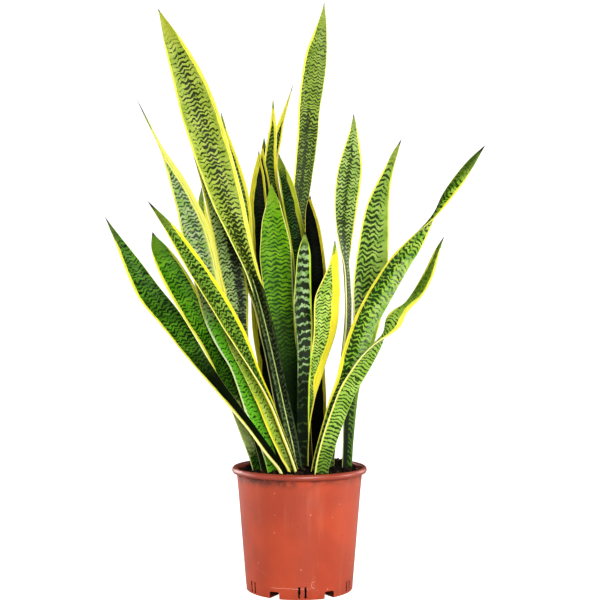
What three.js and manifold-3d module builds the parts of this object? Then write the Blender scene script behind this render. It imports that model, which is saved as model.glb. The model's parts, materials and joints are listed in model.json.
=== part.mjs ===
// A laurentii snake plant (Dracaena trifasciata 'Laurentii') in a round nursery pot.
// Millimetres, +Z up. The origin is the middle of the pot's foot, on the plane it stands on.
// The front, where the shortest leaves stand, faces -Y.

import * as THREE from "three";
import { mergeVertices } from "three/addons/utils/BufferGeometryUtils.js";
import Module from "manifold-3d";

const wasm = await Module();
wasm.setup();

// Pot
const POT_HEIGHT = 190;
const POT_FOOT_RADIUS = 82.5;
const POT_SHOULDER_RADIUS = 95;
const POT_SHOULDER_HEIGHT = 152;
const POT_NECK_RADIUS = 97.3;
const POT_NECK_HEIGHT = 175;
const POT_RIM_RADIUS = 105;
const POT_RIM_DEPTH = 9;
const POT_WALL = 1.6;
const POT_FLOOR = 1.8;
const POT_SIDES = 48;
const POT_COLOUR = 0xc9583c;

// Six drainage channels run under the floor, from near the middle to a notch in the foot.
const CHANNEL_COUNT = 6;
const CHANNEL_FIRST_ANGLE = 33;
const CHANNEL_WIDTH = 16.5;
const CHANNEL_HEIGHT = 11;
const CHANNEL_CORNER = 3;
const CHANNEL_START = 40;
const DRAIN_HOLE_RADIUS = 4.5;
const DRAIN_HOLE_PLACE = 62;

// Between the channels the wall has pairs of upright slots.
const SLOT_FIRST_ANGLE = 3;
const SLOT_HALF_SPREAD = 3.3;
const SLOT_WIDTH = 2;
const SLOT_BOTTOM = 3;
const SLOT_TOP = 20;

// Soil
const GAP = 0.35;
const SOIL_SIDES = 24;
const SOIL_LEVEL = 180.5;
const SOIL_COLOUR = 0x2a1d15;

// Leaves start below the soil, on the rhizomes.
const LEAF_FOOT = 148;
const LEAF_BASE_THICKNESS = 7;
const LEAF_TIP_THICKNESS = 2.4;
const RINGS_PER_STATION = 2;
const GREEN = 0x5f8a45;
const FRESH_GREEN = 0x6fa31f;
const DARK_GREEN = 0x36532c;
const SHADED_GREEN = 0x26381c;

// Rhizomes
const RHIZOME_RADIUS = 9;
const RHIZOME_COLOUR = 0xc98a3e;

// Each leaf is a row of stations from its foot to its tip. A station holds the x, y and z of
// the middle of the blade, the blade's true width there, and its turn in degrees about its own
// length: at 0 the upper face looks to the front, and a positive turn takes the right-hand
// margin back. channel is how deep the blade is folded, positive towards the upper face.
const LEAVES = [
  {
    name: "leaf_tall_left",
    channel: 0.3,
    colour: GREEN,
    stations: [
      [1, -19, LEAF_FOOT, 21, 50],
      [-7, -19, 206, 22, 50],
      [-21, -20, 271, 25, 50],
      [-50, -19, 402, 30, 55],
      [-70, -18, 476, 34, 60],
      [-90, -16, 533, 41, 45],
      [-115, -14, 610, 53, 22],
      [-151, -14, 726, 58, 5],
      [-171, -16, 788, 49, 0],
      [-196, -20, 848, 28, 0],
      [-218, -24, 898, 0, 0],
    ],
  },
  {
    name: "leaf_tall_right",
    channel: 0.2,
    colour: GREEN,
    stations: [
      [8, 52, LEAF_FOOT, 20, 60],
      [4, 56, 191, 21, 60],
      [-1, 62, 300, 26, 60],
      [-1, 65, 400, 34, 55],
      [-4, 66, 513, 40, 50],
      [-3, 66, 585, 41, 48],
      [4, 66, 646, 41, 45],
      [11, 65, 706, 42, 38],
      [14, 64, 754, 42, 34],
      [20, 63, 801, 42, 28],
      [27, 61, 846, 36, 18],
      [37, 60, 897, 13, 10],
      [40, 60, 928, 0, 10],
    ],
  },
  {
    name: "leaf_far_left",
    channel: 0.3,
    colour: DARK_GREEN,
    stations: [
      [-16, -53, LEAF_FOOT, 20, 75],
      [-27, -51, 189, 20, 75],
      [-45, -49, 213, 22, 68],
      [-75, -46, 254, 24, 68],
      [-104, -44, 290, 27, 66],
      [-131, -46, 324, 31, 58],
      [-155, -44, 356, 33, 46],
      [-200, -20, 417, 40, 32],
      [-233, -8, 456, 39, 26],
      [-256, -2, 494, 30, 20],
      [-281, 3, 538, 14, 10],
      [-305, 6, 580, 0, 0],
    ],
  },
  {
    name: "leaf_left_second",
    channel: 0.3,
    colour: DARK_GREEN,
    stations: [
      [-58, 8, LEAF_FOOT, 20, 25],
      [-68, 4, 194, 20, 35],
      [-88, -2, 249, 22, 45],
      [-103, -8, 293, 27, 45],
      [-135, -20, 374, 36, 38],
      [-158, -26, 418, 40, 33],
      [-184, -30, 467, 44, 28],
      [-209, -33, 513, 34, 24],
      [-220, -35, 536, 17, 20],
      [-225, -36, 553, 0, 20],
    ],
  },
  {
    name: "leaf_left_third",
    channel: 0.3,
    colour: DARK_GREEN,
    stations: [
      [3, -45, LEAF_FOOT, 20, 85],
      [-6, -46, 189, 21, 85],
      [-27, -48, 246, 23, 85],
      [-47, -49, 297, 27, 83],
      [-71, -51, 345, 34, 71],
      [-98, -53, 397, 42, 57],
      [-136, -56, 461, 44, 52],
      [-165, -58, 507, 37, 50],
      [-193, -60, 551, 23, 45],
      [-230, -62, 599, 0, 40],
    ],
  },
  {
    name: "leaf_left_banded",
    channel: 0.2,
    colour: GREEN,
    stations: [
      [-7, -41, LEAF_FOOT, 18, 80],
      [-15, -40, 189, 19, 76],
      [-23, -38, 206, 20, 64],
      [-40, -33, 250, 25, 45],
      [-51, -31, 281, 28, 42],
      [-64, -30, 311, 28, 42],
      [-79, -30, 338, 23, 42],
      [-101, -31, 374, 15, 42],
      [-118, -32, 408, 0, 40],
    ],
  },
  {
    name: "leaf_left_tailed",
    channel: 0.15,
    colour: FRESH_GREEN,
    stations: [
      [-36, -24, LEAF_FOOT, 19, 20],
      [-42, -24, 194, 20, 25],
      [-58, -23, 242, 22, 30],
      [-75, -22, 282, 24, 33],
      [-95, -21, 348, 30, 28],
      [-110, -20, 379, 35, 20],
      [-127, -20, 418, 40, 18],
      [-140, -20, 467, 42, 18],
      [-149, -20, 510, 44, 15],
      [-161, -21, 556, 45, 12],
      [-171, -22, 587, 36, 10],
      [-189, -24, 633, 24, 8],
      [-212, -27, 681, 6, 5],
      [-234, -30, 725, 3, 0],
      [-252, -33, 762, 0, 0],
    ],
  },
  {
    name: "leaf_left_small_tip",
    channel: 0.2,
    colour: DARK_GREEN,
    stations: [
      [-46, 0, LEAF_FOOT, 17, 15],
      [-54, -1, 197, 18, 15],
      [-66, -2, 246, 20, 12],
      [-84, -3, 308, 21, 10],
      [-99, -3, 370, 23, 10],
      [-132, -3, 464, 30, 10],
      [-147, -3, 542, 27, 10],
      [-153, -3, 597, 13, 10],
      [-152, -4, 625, 0, 5],
    ],
  },
  {
    name: "leaf_left_back_inner",
    channel: 0.2,
    colour: SHADED_GREEN,
    stations: [
      [-26, 14, LEAF_FOOT, 19, 20],
      [-33, 14, 197, 21, 20],
      [-52, 14, 244, 23, 22],
      [-74, 15, 307, 25, 25],
      [-91, 16, 359, 27, 25],
      [-97, 15, 417, 34, 22],
      [-99, 14, 455, 38, 22],
      [-106, 15, 492, 41, 20],
      [-121, 18, 570, 42, 18],
      [-139, 18, 637, 35, 15],
      [-160, 17, 692, 22, 10],
      [-177, 16, 735, 0, 5],
    ],
  },
  {
    name: "leaf_left_back_outer",
    channel: 0.2,
    colour: SHADED_GREEN,
    stations: [
      [-17, 31, LEAF_FOOT, 18, 30],
      [-20, 31, 197, 20, 40],
      [-37, 31, 306, 24, 55],
      [-56, 32, 401, 28, 55],
      [-66, 33, 448, 32, 50],
      [-82, 38, 495, 38, 34],
      [-94, 39, 536, 42, 18],
      [-98, 36, 591, 43, 10],
      [-104, 36, 639, 34, 10],
      [-117, 35, 696, 20, 5],
      [-124, 34, 747, 0, 0],
    ],
  },
  {
    name: "leaf_back_golden_edge",
    channel: 0.3,
    colour: SHADED_GREEN,
    stations: [
      [-16, 46, LEAF_FOOT, 18, 15],
      [-22, 48, 209, 20, 15],
      [-44, 52, 305, 28, 15],
      [-58, 53, 385, 33, 15],
      [-62, 53, 449, 34, 15],
      [-62, 53, 528, 33, 15],
      [-67, 53, 601, 30, 15],
      [-66, 53, 649, 19, 15],
      [-65, 53, 689, 0, 10],
    ],
  },
  {
    name: "leaf_back_narrow",
    channel: 0.2,
    colour: SHADED_GREEN,
    stations: [
      [-34, 56, LEAF_FOOT, 17, 5],
      [-35, 59, 200, 19, 5],
      [-38, 63, 287, 22, 5],
      [-44, 65, 400, 26, 5],
      [-52, 66, 513, 29, 5],
      [-57, 67, 594, 28, 5],
      [-60, 67, 642, 22, 5],
      [-61, 67, 667, 14, 5],
      [-59, 67, 699, 0, 5],
    ],
  },
  {
    name: "leaf_back_far_left",
    channel: 0.2,
    colour: SHADED_GREEN,
    stations: [
      [-40, 69, LEAF_FOOT, 16, 0],
      [-41, 74, 210, 18, 0],
      [-42, 86, 320, 22, 0],
      [-43, 94, 449, 26, 0],
      [-48, 98, 580, 26, 0],
      [-55, 99, 653, 19, 0],
      [-58, 99, 694, 10, 0],
      [-58, 99, 716, 0, 0],
    ],
  },
  {
    name: "leaf_back_dark",
    channel: 0.2,
    colour: SHADED_GREEN,
    stations: [
      [-19, 73, LEAF_FOOT, 16, 0],
      [-19, 76, 210, 18, 0],
      [-27, 80, 320, 22, 0],
      [-35, 83, 449, 25, 0],
      [-43, 85, 595, 25, 0],
      [-48, 86, 660, 18, 0],
      [-49, 86, 693, 11, 0],
      [-51, 86, 722, 0, 0],
    ],
  },
  {
    name: "leaf_back_tall",
    channel: 0.2,
    colour: SHADED_GREEN,
    stations: [
      [4, 72, LEAF_FOOT, 17, 5],
      [1, 74, 210, 19, 5],
      [-6, 76, 286, 22, 5],
      [-15, 77, 449, 27, 5],
      [-25, 77, 520, 29, 5],
      [-40, 77, 594, 29, 5],
      [-47, 77, 643, 25, 5],
      [-47, 77, 684, 19, 5],
      [-43, 77, 724, 13, 5],
      [-43, 77, 778, 0, 0],
    ],
  },
  {
    name: "leaf_back_tailed",
    channel: 0.2,
    colour: SHADED_GREEN,
    stations: [
      [24, 74, LEAF_FOOT, 17, 0],
      [20, 80, 210, 19, 0],
      [0, 90, 310, 23, 0],
      [-24, 98, 399, 25, 0],
      [-42, 104, 531, 28, 0],
      [-48, 107, 629, 26, 0],
      [-44, 108, 690, 20, 0],
      [-38, 109, 711, 17, 0],
      [-30, 110, 742, 9, 0],
      [-17, 111, 783, 3, 0],
      [-9, 112, 810, 0, 0],
    ],
  },
  {
    name: "leaf_back_wide_edge",
    channel: 0.3,
    colour: SHADED_GREEN,
    stations: [
      [7, 36, LEAF_FOOT, 18, 15],
      [7, 38, 200, 20, 15],
      [7, 40, 289, 23, 15],
      [6, 41, 449, 27, 15],
      [1, 41, 519, 27, 15],
      [-6, 41, 560, 27, 15],
      [-13, 41, 592, 27, 15],
      [-21, 41, 632, 23, 15],
      [-30, 41, 664, 11, 10],
      [-33, 41, 682, 0, 5],
    ],
  },
  {
    name: "leaf_centre_fresh",
    channel: 0.15,
    colour: FRESH_GREEN,
    stations: [
      [-8, 20, LEAF_FOOT, 19, 15],
      [-9, 19, 230, 21, 12],
      [-12, 16, 292, 25, 8],
      [-21, 13, 370, 32, 5],
      [-30, 11, 433, 42, 0],
      [-37, 10, 511, 50, 0],
      [-38, 10, 537, 47, 0],
      [-41, 9, 572, 36, 0],
      [-41, 8, 597, 23, 0],
      [-43, 8, 612, 14, 0],
      [-45, 7, 634, 0, 0],
    ],
  },
  {
    name: "leaf_centre_banded",
    channel: 0.25,
    colour: DARK_GREEN,
    stations: [
      [3, -5, LEAF_FOOT, 18, 25],
      [2, -5, 193, 19, 25],
      [5, -6, 247, 21, 30],
      [5, -14, 317, 26, 42],
      [6.5, -18, 371, 33, 48],
      [5, -20, 407, 40, 50],
      [3, -22, 445, 42, 50],
      [4, -23, 486, 36, 50],
      [5.5, -24, 517, 31, 48],
      [7, -25, 534, 19, 45],
      [8.5, -26, 554, 0, 40],
    ],
  },
  {
    name: "leaf_centre_right",
    channel: 0.35,
    colour: GREEN,
    stations: [
      [5, 7, LEAF_FOOT, 18, 20],
      [4, 6, 194, 20, 25],
      [6, 3, 248, 21, 30],
      [15, 5, 305, 25, 33],
      [31, 6, 368, 34, 33],
      [37, 3, 395, 40, 30],
      [40, -1, 424, 43, 25],
      [41, -3, 448, 43, 25],
      [45, -5, 465, 38, 25],
      [51, -7, 493, 22, 25],
      [54, -9, 512, 14, 25],
      [54.5, -13, 526, 8, 20],
      [55, -14, 542, 0, 20],
    ],
  },
  {
    name: "leaf_back_right_dark",
    channel: 0.3,
    colour: SHADED_GREEN,
    stations: [
      [30, 20, LEAF_FOOT, 18, 15],
      [30, 20, 200, 22, 15],
      [28, 21, 291, 28, 15],
      [25, 20, 370, 28, 15],
      [27, 20, 449, 33, 15],
      [25, 20, 508, 31, 12],
      [20, 19, 564, 24, 10],
      [16, 18, 598, 11, 5],
      [17, 18, 614, 0, 0],
    ],
  },
  {
    name: "leaf_right_upright",
    channel: 0.2,
    colour: GREEN,
    stations: [
      [46, 16, LEAF_FOOT, 19, 60],
      [50, 16, 212, 21, 65],
      [61, 17, 291, 26, 70],
      [74, 18, 398, 32, 74],
      [76, 18, 449, 35, 75],
      [72, 18, 508, 36, 76],
      [71, 17, 527, 38, 62],
      [70, 16, 570, 43, 42],
      [74, 14, 620, 45, 28],
      [79, 12, 657, 41, 22],
      [83, 10, 692, 25, 15],
      [85, 9, 716, 12, 10],
      [85, 8, 741, 0, 0],
    ],
  },
  {
    name: "leaf_right_broad",
    channel: 0.25,
    colour: DARK_GREEN,
    stations: [
      [73, 20, LEAF_FOOT, 18, 20],
      [75, 20, 204, 18, 30],
      [78, 20, 262, 22, 30],
      [82, 20, 314, 28, 30],
      [96, 20, 370, 37, 28],
      [105.5, 19, 426, 50, 22],
      [108.5, 18, 472, 54, 15],
      [114, 16, 516, 52, 12],
      [117.5, 14, 551, 47, 10],
      [121.5, 12, 590, 38, 10],
      [129, 10, 620, 27, 5],
      [140, 7, 653, 15, 0],
      [149, 5, 677, 9, 0],
      [160, 2, 701, 0, 0],
    ],
  },
  {
    name: "leaf_right_big",
    channel: 0.3,
    colour: GREEN,
    stations: [
      [22, -40, LEAF_FOOT, 20, 20],
      [27, -41, 192, 20, 20],
      [47, -42, 265, 23, 20],
      [57, -43, 296, 27, 20],
      [69, -43, 326, 31, 20],
      [79, -44, 358, 38, 20],
      [89, -45, 388, 42, 25],
      [100.5, -46, 420, 45, 35],
      [130, -49, 475, 48, 38],
      [155, -51, 513, 46, 46],
      [185, -54, 551, 41, 66],
      [207, -57, 581, 32, 92],
      [219, -59, 603, 28, 117],
      [240, -62, 631, 22, 138],
      [261, -66, 659, 12, 150],
      [280, -70, 682, 0, 160],
    ],
  },
  {
    name: "leaf_far_right",
    channel: 0.3,
    colour: GREEN,
    stations: [
      [28, -56, LEAF_FOOT, 20, 15],
      [34, -56, 197, 22, 18],
      [40, -57, 221, 24, 20],
      [52, -58, 259, 26, 20],
      [66, -59, 297, 27, 22],
      [74, -60, 316, 28, 25],
      [85, -62, 335, 30, 35],
      [101, -64, 361, 32, 50],
      [118, -66, 384, 32, 70],
      [127, -67, 395, 31, 90],
      [133, -68.5, 405, 31, 118],
      [141, -70.5, 418, 31, 148],
      [150.5, -72, 431, 28, 130],
      [160, -73, 440, 27, 114],
      [177, -75, 461, 29, 119],
      [193, -78, 490, 23, 125],
      [206, -82, 523, 10, 130],
      [216, -85, 544, 0, 135],
    ],
  },
];

// The rhizomes lie level under the feet of the leaves.
const RHIZOMES = [
  { name: "rhizome_front", path: [[-22, -54], [-8, -44], [8, -42], [24, -47], [36, -57]] },
  { name: "rhizome_left", path: [[-64, 8], [-46, 2], [-36, -24]] },
  { name: "rhizome_middle", path: [[-26, 16], [-8, 18], [2, 4], [1, -20]] },
  { name: "rhizome_back", path: [[-42, 72], [-20, 75], [4, 73], [26, 74]] },
  { name: "rhizome_back_left", path: [[-34, 54], [-19, 45], [-17, 32]] },
  { name: "rhizome_back_right", path: [[8, 54], [8, 38], [26, 22]] },
  { name: "rhizome_right", path: [[44, 16], [58, 18], [76, 20]] },
];

// Turns a three.js geometry into a solid that can be joined and cut.
function solidOf(geometry) {
  const bare = geometry.clone();
  for (const name of ["normal", "uv"]) bare.deleteAttribute(name);
  const merged = mergeVertices(bare, 1e-4);
  return new wasm.Manifold(
    new wasm.Mesh({
      numProp: 3,
      vertProperties: Float32Array.from(merged.attributes.position.array),
      triVerts: Uint32Array.from(merged.index.array),
    }),
  );
}

function geometryOf(solid) {
  const { numProp, vertProperties, triVerts } = solid.getMesh();
  const positions = new Float32Array((vertProperties.length / numProp) * 3);
  for (let i = 0; i < positions.length / 3; i++)
    positions.set(vertProperties.subarray(i * numProp, i * numProp + 3), i * 3);
  const geometry = new THREE.BufferGeometry();
  geometry.setAttribute("position", new THREE.BufferAttribute(positions, 3));
  geometry.setIndex(new THREE.BufferAttribute(triVerts, 1));
  geometry.computeVertexNormals();
  return geometry;
}

// Angles go from the front, -Y, towards +X.
function turned(geometry, degrees) {
  return geometry.rotateZ(THREE.MathUtils.degToRad(degrees));
}

function lathe(profile, sides) {
  const points = profile.map(([r, z]) => new THREE.Vector2(r, z));
  return new THREE.LatheGeometry(points, sides).rotateX(Math.PI / 2);
}

// Radius of the pot's outer face at a height below the neck.
function potRadius(z) {
  if (z <= POT_SHOULDER_HEIGHT)
    return THREE.MathUtils.mapLinear(z, 0, POT_SHOULDER_HEIGHT, POT_FOOT_RADIUS, POT_SHOULDER_RADIUS);
  return THREE.MathUtils.mapLinear(
    z, POT_SHOULDER_HEIGHT, POT_NECK_HEIGHT, POT_SHOULDER_RADIUS, POT_NECK_RADIUS,
  );
}

function potOuterProfile() {
  const rimUnderside = POT_HEIGHT - POT_RIM_DEPTH;
  return [
    [0, 0],
    [POT_FOOT_RADIUS - 0.9, 0],
    [potRadius(0.9), 0.9],
    [POT_SHOULDER_RADIUS, POT_SHOULDER_HEIGHT],
    [POT_NECK_RADIUS, POT_NECK_HEIGHT],
    [POT_NECK_RADIUS + 1.4, rimUnderside - 2.6],
    [POT_NECK_RADIUS + 3.6, rimUnderside - 0.6],
    [POT_RIM_RADIUS - 1.4, rimUnderside],
    [POT_RIM_RADIUS, rimUnderside + 3],
    [POT_RIM_RADIUS - 0.4, POT_HEIGHT - 2.6],
    [POT_RIM_RADIUS - 2, POT_HEIGHT - 0.6],
    [POT_RIM_RADIUS - 4.6, POT_HEIGHT],
  ];
}

function potInnerProfile() {
  return [
    [POT_RIM_RADIUS - 6.6, POT_HEIGHT - 0.8],
    [POT_NECK_RADIUS - 0.4, POT_HEIGHT - 3],
    [POT_NECK_RADIUS - POT_WALL, POT_NECK_HEIGHT],
    [POT_SHOULDER_RADIUS - POT_WALL, POT_SHOULDER_HEIGHT],
    [potRadius(POT_FLOOR + 2) - POT_WALL, POT_FLOOR + 2],
    [potRadius(POT_FLOOR) - POT_WALL - 2, POT_FLOOR],
    [0, POT_FLOOR],
  ];
}

// A tunnel block with rounded top edges that runs outwards along -Y from start to end.
function tunnelBlock(width, height, bottom, start, end) {
  const corner = CHANNEL_CORNER;
  const half = width / 2;
  const shape = new THREE.Shape();
  shape.moveTo(-half, bottom);
  shape.lineTo(half, bottom);
  shape.lineTo(half, height - corner);
  shape.quadraticCurveTo(half, height, half - corner, height);
  shape.lineTo(-half + corner, height);
  shape.quadraticCurveTo(-half, height, -half, height - corner);
  shape.closePath();
  const block = new THREE.ExtrudeGeometry(shape, {
    depth: end - start,
    bevelEnabled: false,
    curveSegments: 3,
  });
  return block.rotateX(Math.PI / 2).translate(0, -start, 0);
}

function channelAngles() {
  return Array.from({ length: CHANNEL_COUNT }, (_, i) => CHANNEL_FIRST_ANGLE + (i * 360) / CHANNEL_COUNT);
}

function makePot() {
  let pot = solidOf(lathe([...potOuterProfile(), ...potInnerProfile()], POT_SIDES));
  const outside = solidOf(lathe([...potOuterProfile(), [0, POT_HEIGHT]], POT_SIDES));
  for (const angle of channelAngles()) {
    const roof = tunnelBlock(
      CHANNEL_WIDTH + 2 * POT_WALL,
      CHANNEL_HEIGHT + POT_WALL,
      0,
      CHANNEL_START - POT_WALL,
      POT_FOOT_RADIUS + 5,
    );
    pot = pot.add(solidOf(turned(roof, angle)).intersect(outside));
  }
  for (const angle of channelAngles()) {
    const hollow = tunnelBlock(CHANNEL_WIDTH, CHANNEL_HEIGHT, -1, CHANNEL_START, POT_FOOT_RADIUS + 8);
    const drain = new THREE.CylinderGeometry(DRAIN_HOLE_RADIUS, DRAIN_HOLE_RADIUS, 12, 12);
    drain.rotateX(Math.PI / 2).translate(0, -DRAIN_HOLE_PLACE, CHANNEL_HEIGHT);
    pot = pot.subtract(solidOf(turned(hollow, angle))).subtract(solidOf(turned(drain, angle)));
  }
  for (let i = 0; i < CHANNEL_COUNT; i++) {
    for (const side of [-1, 1]) {
      const slot = new THREE.BoxGeometry(SLOT_WIDTH, 8, SLOT_TOP - SLOT_BOTTOM);
      slot.translate(0, -POT_FOOT_RADIUS, (SLOT_TOP + SLOT_BOTTOM) / 2);
      const angle = SLOT_FIRST_ANGLE + side * SLOT_HALF_SPREAD + (i * 360) / CHANNEL_COUNT;
      pot = pot.subtract(solidOf(turned(slot, angle)));
    }
  }
  return pot;
}

// Height of the soil: heaped round the leaves and, higher, against the back right of the rim.
function soilHeight(x, y) {
  const heap = (cx, cy, rise, spread) =>
    rise * Math.exp(-((x - cx) ** 2 + (y - cy) ** 2) / spread ** 2);
  const crumbs = 0.9 * Math.sin(x * 0.21 + 1.3) * Math.sin(y * 0.17 + 0.4);
  const heaps = heap(2, -36, 6, 42) + heap(58, 62, 10.5, 40) + heap(20, 20, 4, 40) + heap(-52, 74, 8, 24);
  return SOIL_LEVEL + heaps + crumbs;
}

function makeSoil(leaves, rhizomes) {
  const wallRadius = (z) => potRadius(z) - POT_WALL - GAP;
  const bottom = POT_FLOOR + GAP;
  const lowest = 176;
  const profile = [
    [0, bottom],
    [wallRadius(bottom) - 2, bottom],
    [wallRadius(bottom + 2), bottom + 2],
    [wallRadius(POT_SHOULDER_HEIGHT), POT_SHOULDER_HEIGHT],
    [wallRadius(POT_NECK_HEIGHT), POT_NECK_HEIGHT],
    ...[95.3, 88, 74, 58, 40, 20, 0].map((r) => [r, lowest + 1]),
  ];
  const geometry = lathe(profile, SOIL_SIDES);
  const position = geometry.attributes.position;
  for (let i = 0; i < position.count; i++)
    if (position.getZ(i) > lowest)
      position.setZ(i, soilHeight(position.getX(i), position.getY(i)));
  let soil = solidOf(geometry);
  for (const angle of channelAngles()) {
    const roof = tunnelBlock(
      CHANNEL_WIDTH + 2 * (POT_WALL + GAP),
      CHANNEL_HEIGHT + POT_WALL + GAP,
      0,
      CHANNEL_START - POT_WALL - GAP,
      POT_FOOT_RADIUS + 8,
    );
    soil = soil.subtract(solidOf(turned(roof, angle)));
  }
  for (const leaf of leaves) soil = soil.subtract(solidOf(leafGeometry(leaf, GAP)));
  for (const rhizome of rhizomes) soil = soil.subtract(solidOf(rhizomeGeometry(rhizome, GAP)));
  return soil;
}

// Smooth value of one column of the stations at a place along the leaf, where 1 is the tip.
function along(stations, column, t) {
  const last = stations.length - 1;
  const place = Math.min(t * last, last - 1e-9);
  const i = Math.floor(place);
  const f = place - i;
  const value = (k) => stations[THREE.MathUtils.clamp(k, 0, last)][column];
  const [a, b, c, d] = [value(i - 1), value(i), value(i + 1), value(i + 2)];
  return (
    b + 0.5 * f * (c - a + f * (2 * a - 5 * b + 4 * c - d + f * (3 * (b - c) + d - a)))
  );
}

// The eight points of a blade's section: right margin, upper face, left margin, lower face.
// across is the place between the margins, -1 to 1, and side is which face the point is on.
const SECTION = [
  { across: 1, side: 0 },
  { across: 0.52, side: 1 },
  { across: 0, side: 1 },
  { across: -0.52, side: 1 },
  { across: -1, side: 0 },
  { across: -0.52, side: -1 },
  { across: 0, side: -1 },
  { across: 0.52, side: -1 },
];
const SECTION_CAP = [0, 1, 7, 1, 2, 6, 1, 6, 7, 2, 3, 5, 2, 5, 6, 3, 4, 5];

// A leaf as one closed body, made fatter all round by grow.
function leafGeometry({ stations, channel }, grow = 0) {
  const path = new THREE.CatmullRomCurve3(stations.map(([x, y, z]) => new THREE.Vector3(x, y, z)));
  const rings = (stations.length - 1) * RINGS_PER_STATION;
  const vertices = [];
  for (let i = 0; i < rings; i++) {
    const t = i / rings;
    const centre = path.getPoint(t);
    const tangent = path.getTangent(t);
    const width = along(stations, 3, t);
    const turn = THREE.MathUtils.degToRad(along(stations, 4, t));
    const level = new THREE.Vector3(0, 1, 0).cross(tangent).normalize();
    const front = level.clone().cross(tangent);
    const side = level.clone().multiplyScalar(Math.cos(turn)).addScaledVector(front, -Math.sin(turn));
    const face = side.clone().cross(tangent);
    const full = THREE.MathUtils.lerp(LEAF_BASE_THICKNESS, LEAF_TIP_THICKNESS, Math.min(1, t * 1.6));
    const thickness = Math.min(full, width * 0.4);
    for (const { across, side: faceSide } of SECTION) {
      const fold = channel * (width / 2) * (across * across - 0.35);
      const swell = faceSide * ((thickness / 2) * (1 - 0.3 * across * across) + grow);
      const reach = across * (width / 2) + (faceSide === 0 ? Math.sign(across) * 1.6 * grow : 0);
      const point = centre.clone().addScaledVector(side, reach).addScaledVector(face, fold + swell);
      if (i === 0) point.z = LEAF_FOOT - grow;
      vertices.push(point.x, point.y, point.z);
    }
  }
  const tip = path.getPoint(1);
  vertices.push(tip.x, tip.y, tip.z);

  const count = SECTION.length;
  const apex = rings * count;
  const faces = [...SECTION_CAP];
  for (let ring = 0; ring < rings; ring++) {
    for (let j = 0; j < count; j++) {
      const a = ring * count + j;
      const b = ring * count + ((j + 1) % count);
      if (ring === rings - 1) faces.push(a, apex, b);
      else faces.push(a, a + count, b + count, a, b + count, b);
    }
  }
  const geometry = new THREE.BufferGeometry();
  geometry.setAttribute("position", new THREE.Float32BufferAttribute(vertices, 3));
  geometry.setIndex(faces);
  geometry.computeVertexNormals();
  return geometry;
}

function rhizomeGeometry({ path }, grow = 0) {
  const radius = RHIZOME_RADIUS + grow;
  const depth = LEAF_FOOT - GAP - RHIZOME_RADIUS;
  const section = new THREE.Shape().absarc(0, 0, radius, 0, 2 * Math.PI);
  const points = path.map(([x, y]) => new THREE.Vector3(x, y, depth));
  const [first, second] = points;
  const [beforeLast, last] = points.slice(-2);
  const start = first.clone().sub(second).setLength(grow);
  const end = last.clone().sub(beforeLast).setLength(grow);
  first.add(start);
  last.add(end);
  const line = new THREE.CatmullRomCurve3(points);
  return new THREE.ExtrudeGeometry(section, {
    steps: 3 * (path.length - 1),
    curveSegments: 4,
    extrudePath: line,
  });
}

function mesh(name, geometry, colour, roughness) {
  const material = new THREE.MeshStandardMaterial({ color: colour, roughness, metalness: 0 });
  const made = new THREE.Mesh(geometry, material);
  made.name = name;
  return made;
}

const plant = new THREE.Group();
plant.name = "potted_snake_plant";
plant.add(mesh("pot", geometryOf(makePot()), POT_COLOUR, 0.55));
plant.add(mesh("potting_soil", geometryOf(makeSoil(LEAVES, RHIZOMES)), SOIL_COLOUR, 0.95));
for (const rhizome of RHIZOMES)
  plant.add(mesh(rhizome.name, rhizomeGeometry(rhizome), RHIZOME_COLOUR, 0.7));
for (const leaf of LEAVES) plant.add(mesh(leaf.name, leafGeometry(leaf), leaf.colour, 0.45));

export default plant;
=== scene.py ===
"""A potted laurentii snake plant, dressed for its studio picture.

Metres, +Z up, the front facing -Y. Leaf patterns are worked out in millimetres along and across each blade.
"""

import json
import math
from types import SimpleNamespace

import bmesh
import bpy
import numpy as np
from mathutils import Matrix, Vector, noise


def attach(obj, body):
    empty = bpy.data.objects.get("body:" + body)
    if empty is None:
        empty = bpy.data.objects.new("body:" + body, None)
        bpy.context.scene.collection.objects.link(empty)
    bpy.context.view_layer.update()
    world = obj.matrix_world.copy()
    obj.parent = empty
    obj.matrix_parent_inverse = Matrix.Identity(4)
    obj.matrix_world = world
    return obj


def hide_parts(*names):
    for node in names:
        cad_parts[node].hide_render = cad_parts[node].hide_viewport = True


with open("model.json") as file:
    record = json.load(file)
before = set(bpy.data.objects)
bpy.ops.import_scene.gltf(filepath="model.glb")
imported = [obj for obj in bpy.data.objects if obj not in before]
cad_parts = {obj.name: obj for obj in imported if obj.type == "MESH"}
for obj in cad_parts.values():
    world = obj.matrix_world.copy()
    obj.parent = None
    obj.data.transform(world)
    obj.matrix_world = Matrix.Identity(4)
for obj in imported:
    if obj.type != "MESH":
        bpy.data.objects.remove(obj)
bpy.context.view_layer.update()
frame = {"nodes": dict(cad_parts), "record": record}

MM = 0.001
MM_PER_METRE = 1000.0

# Camera: level, looking to +Y, at the height of the middle of the plant
CAMERA_DISTANCE = 1.9
CAMERA_HEIGHT = 0.4485
CAMERA_ASIDE = 0.0009
FOCAL_PIXELS = 1218
PICTURE_PIXELS = 600
SENSOR_WIDTH = 36

# Studio
BACKDROP_GLOW = 1.05
SKY_GLOW = 0.14
FLOOR_GLOW = 0.8
FLOOR_REACH = 30.0
SUN = ((0.2, -1.0, 0.22), 1.95, 30)
PLANT_MIDDLE = (0, 0, 0.45)
POT_MIDDLE = (0, 0, 0.15)

# Blades
BLADE_RINGS = 220
BLADE_AROUND = 28
SPINE_SAMPLES = 6 * BLADE_RINGS
SPINE_SMOOTHING = 2.5
THICKEST_SHARE = 0.42
LEAF_GLOSS = 0.2
LEAF_RELIEF = 0.00025

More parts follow.
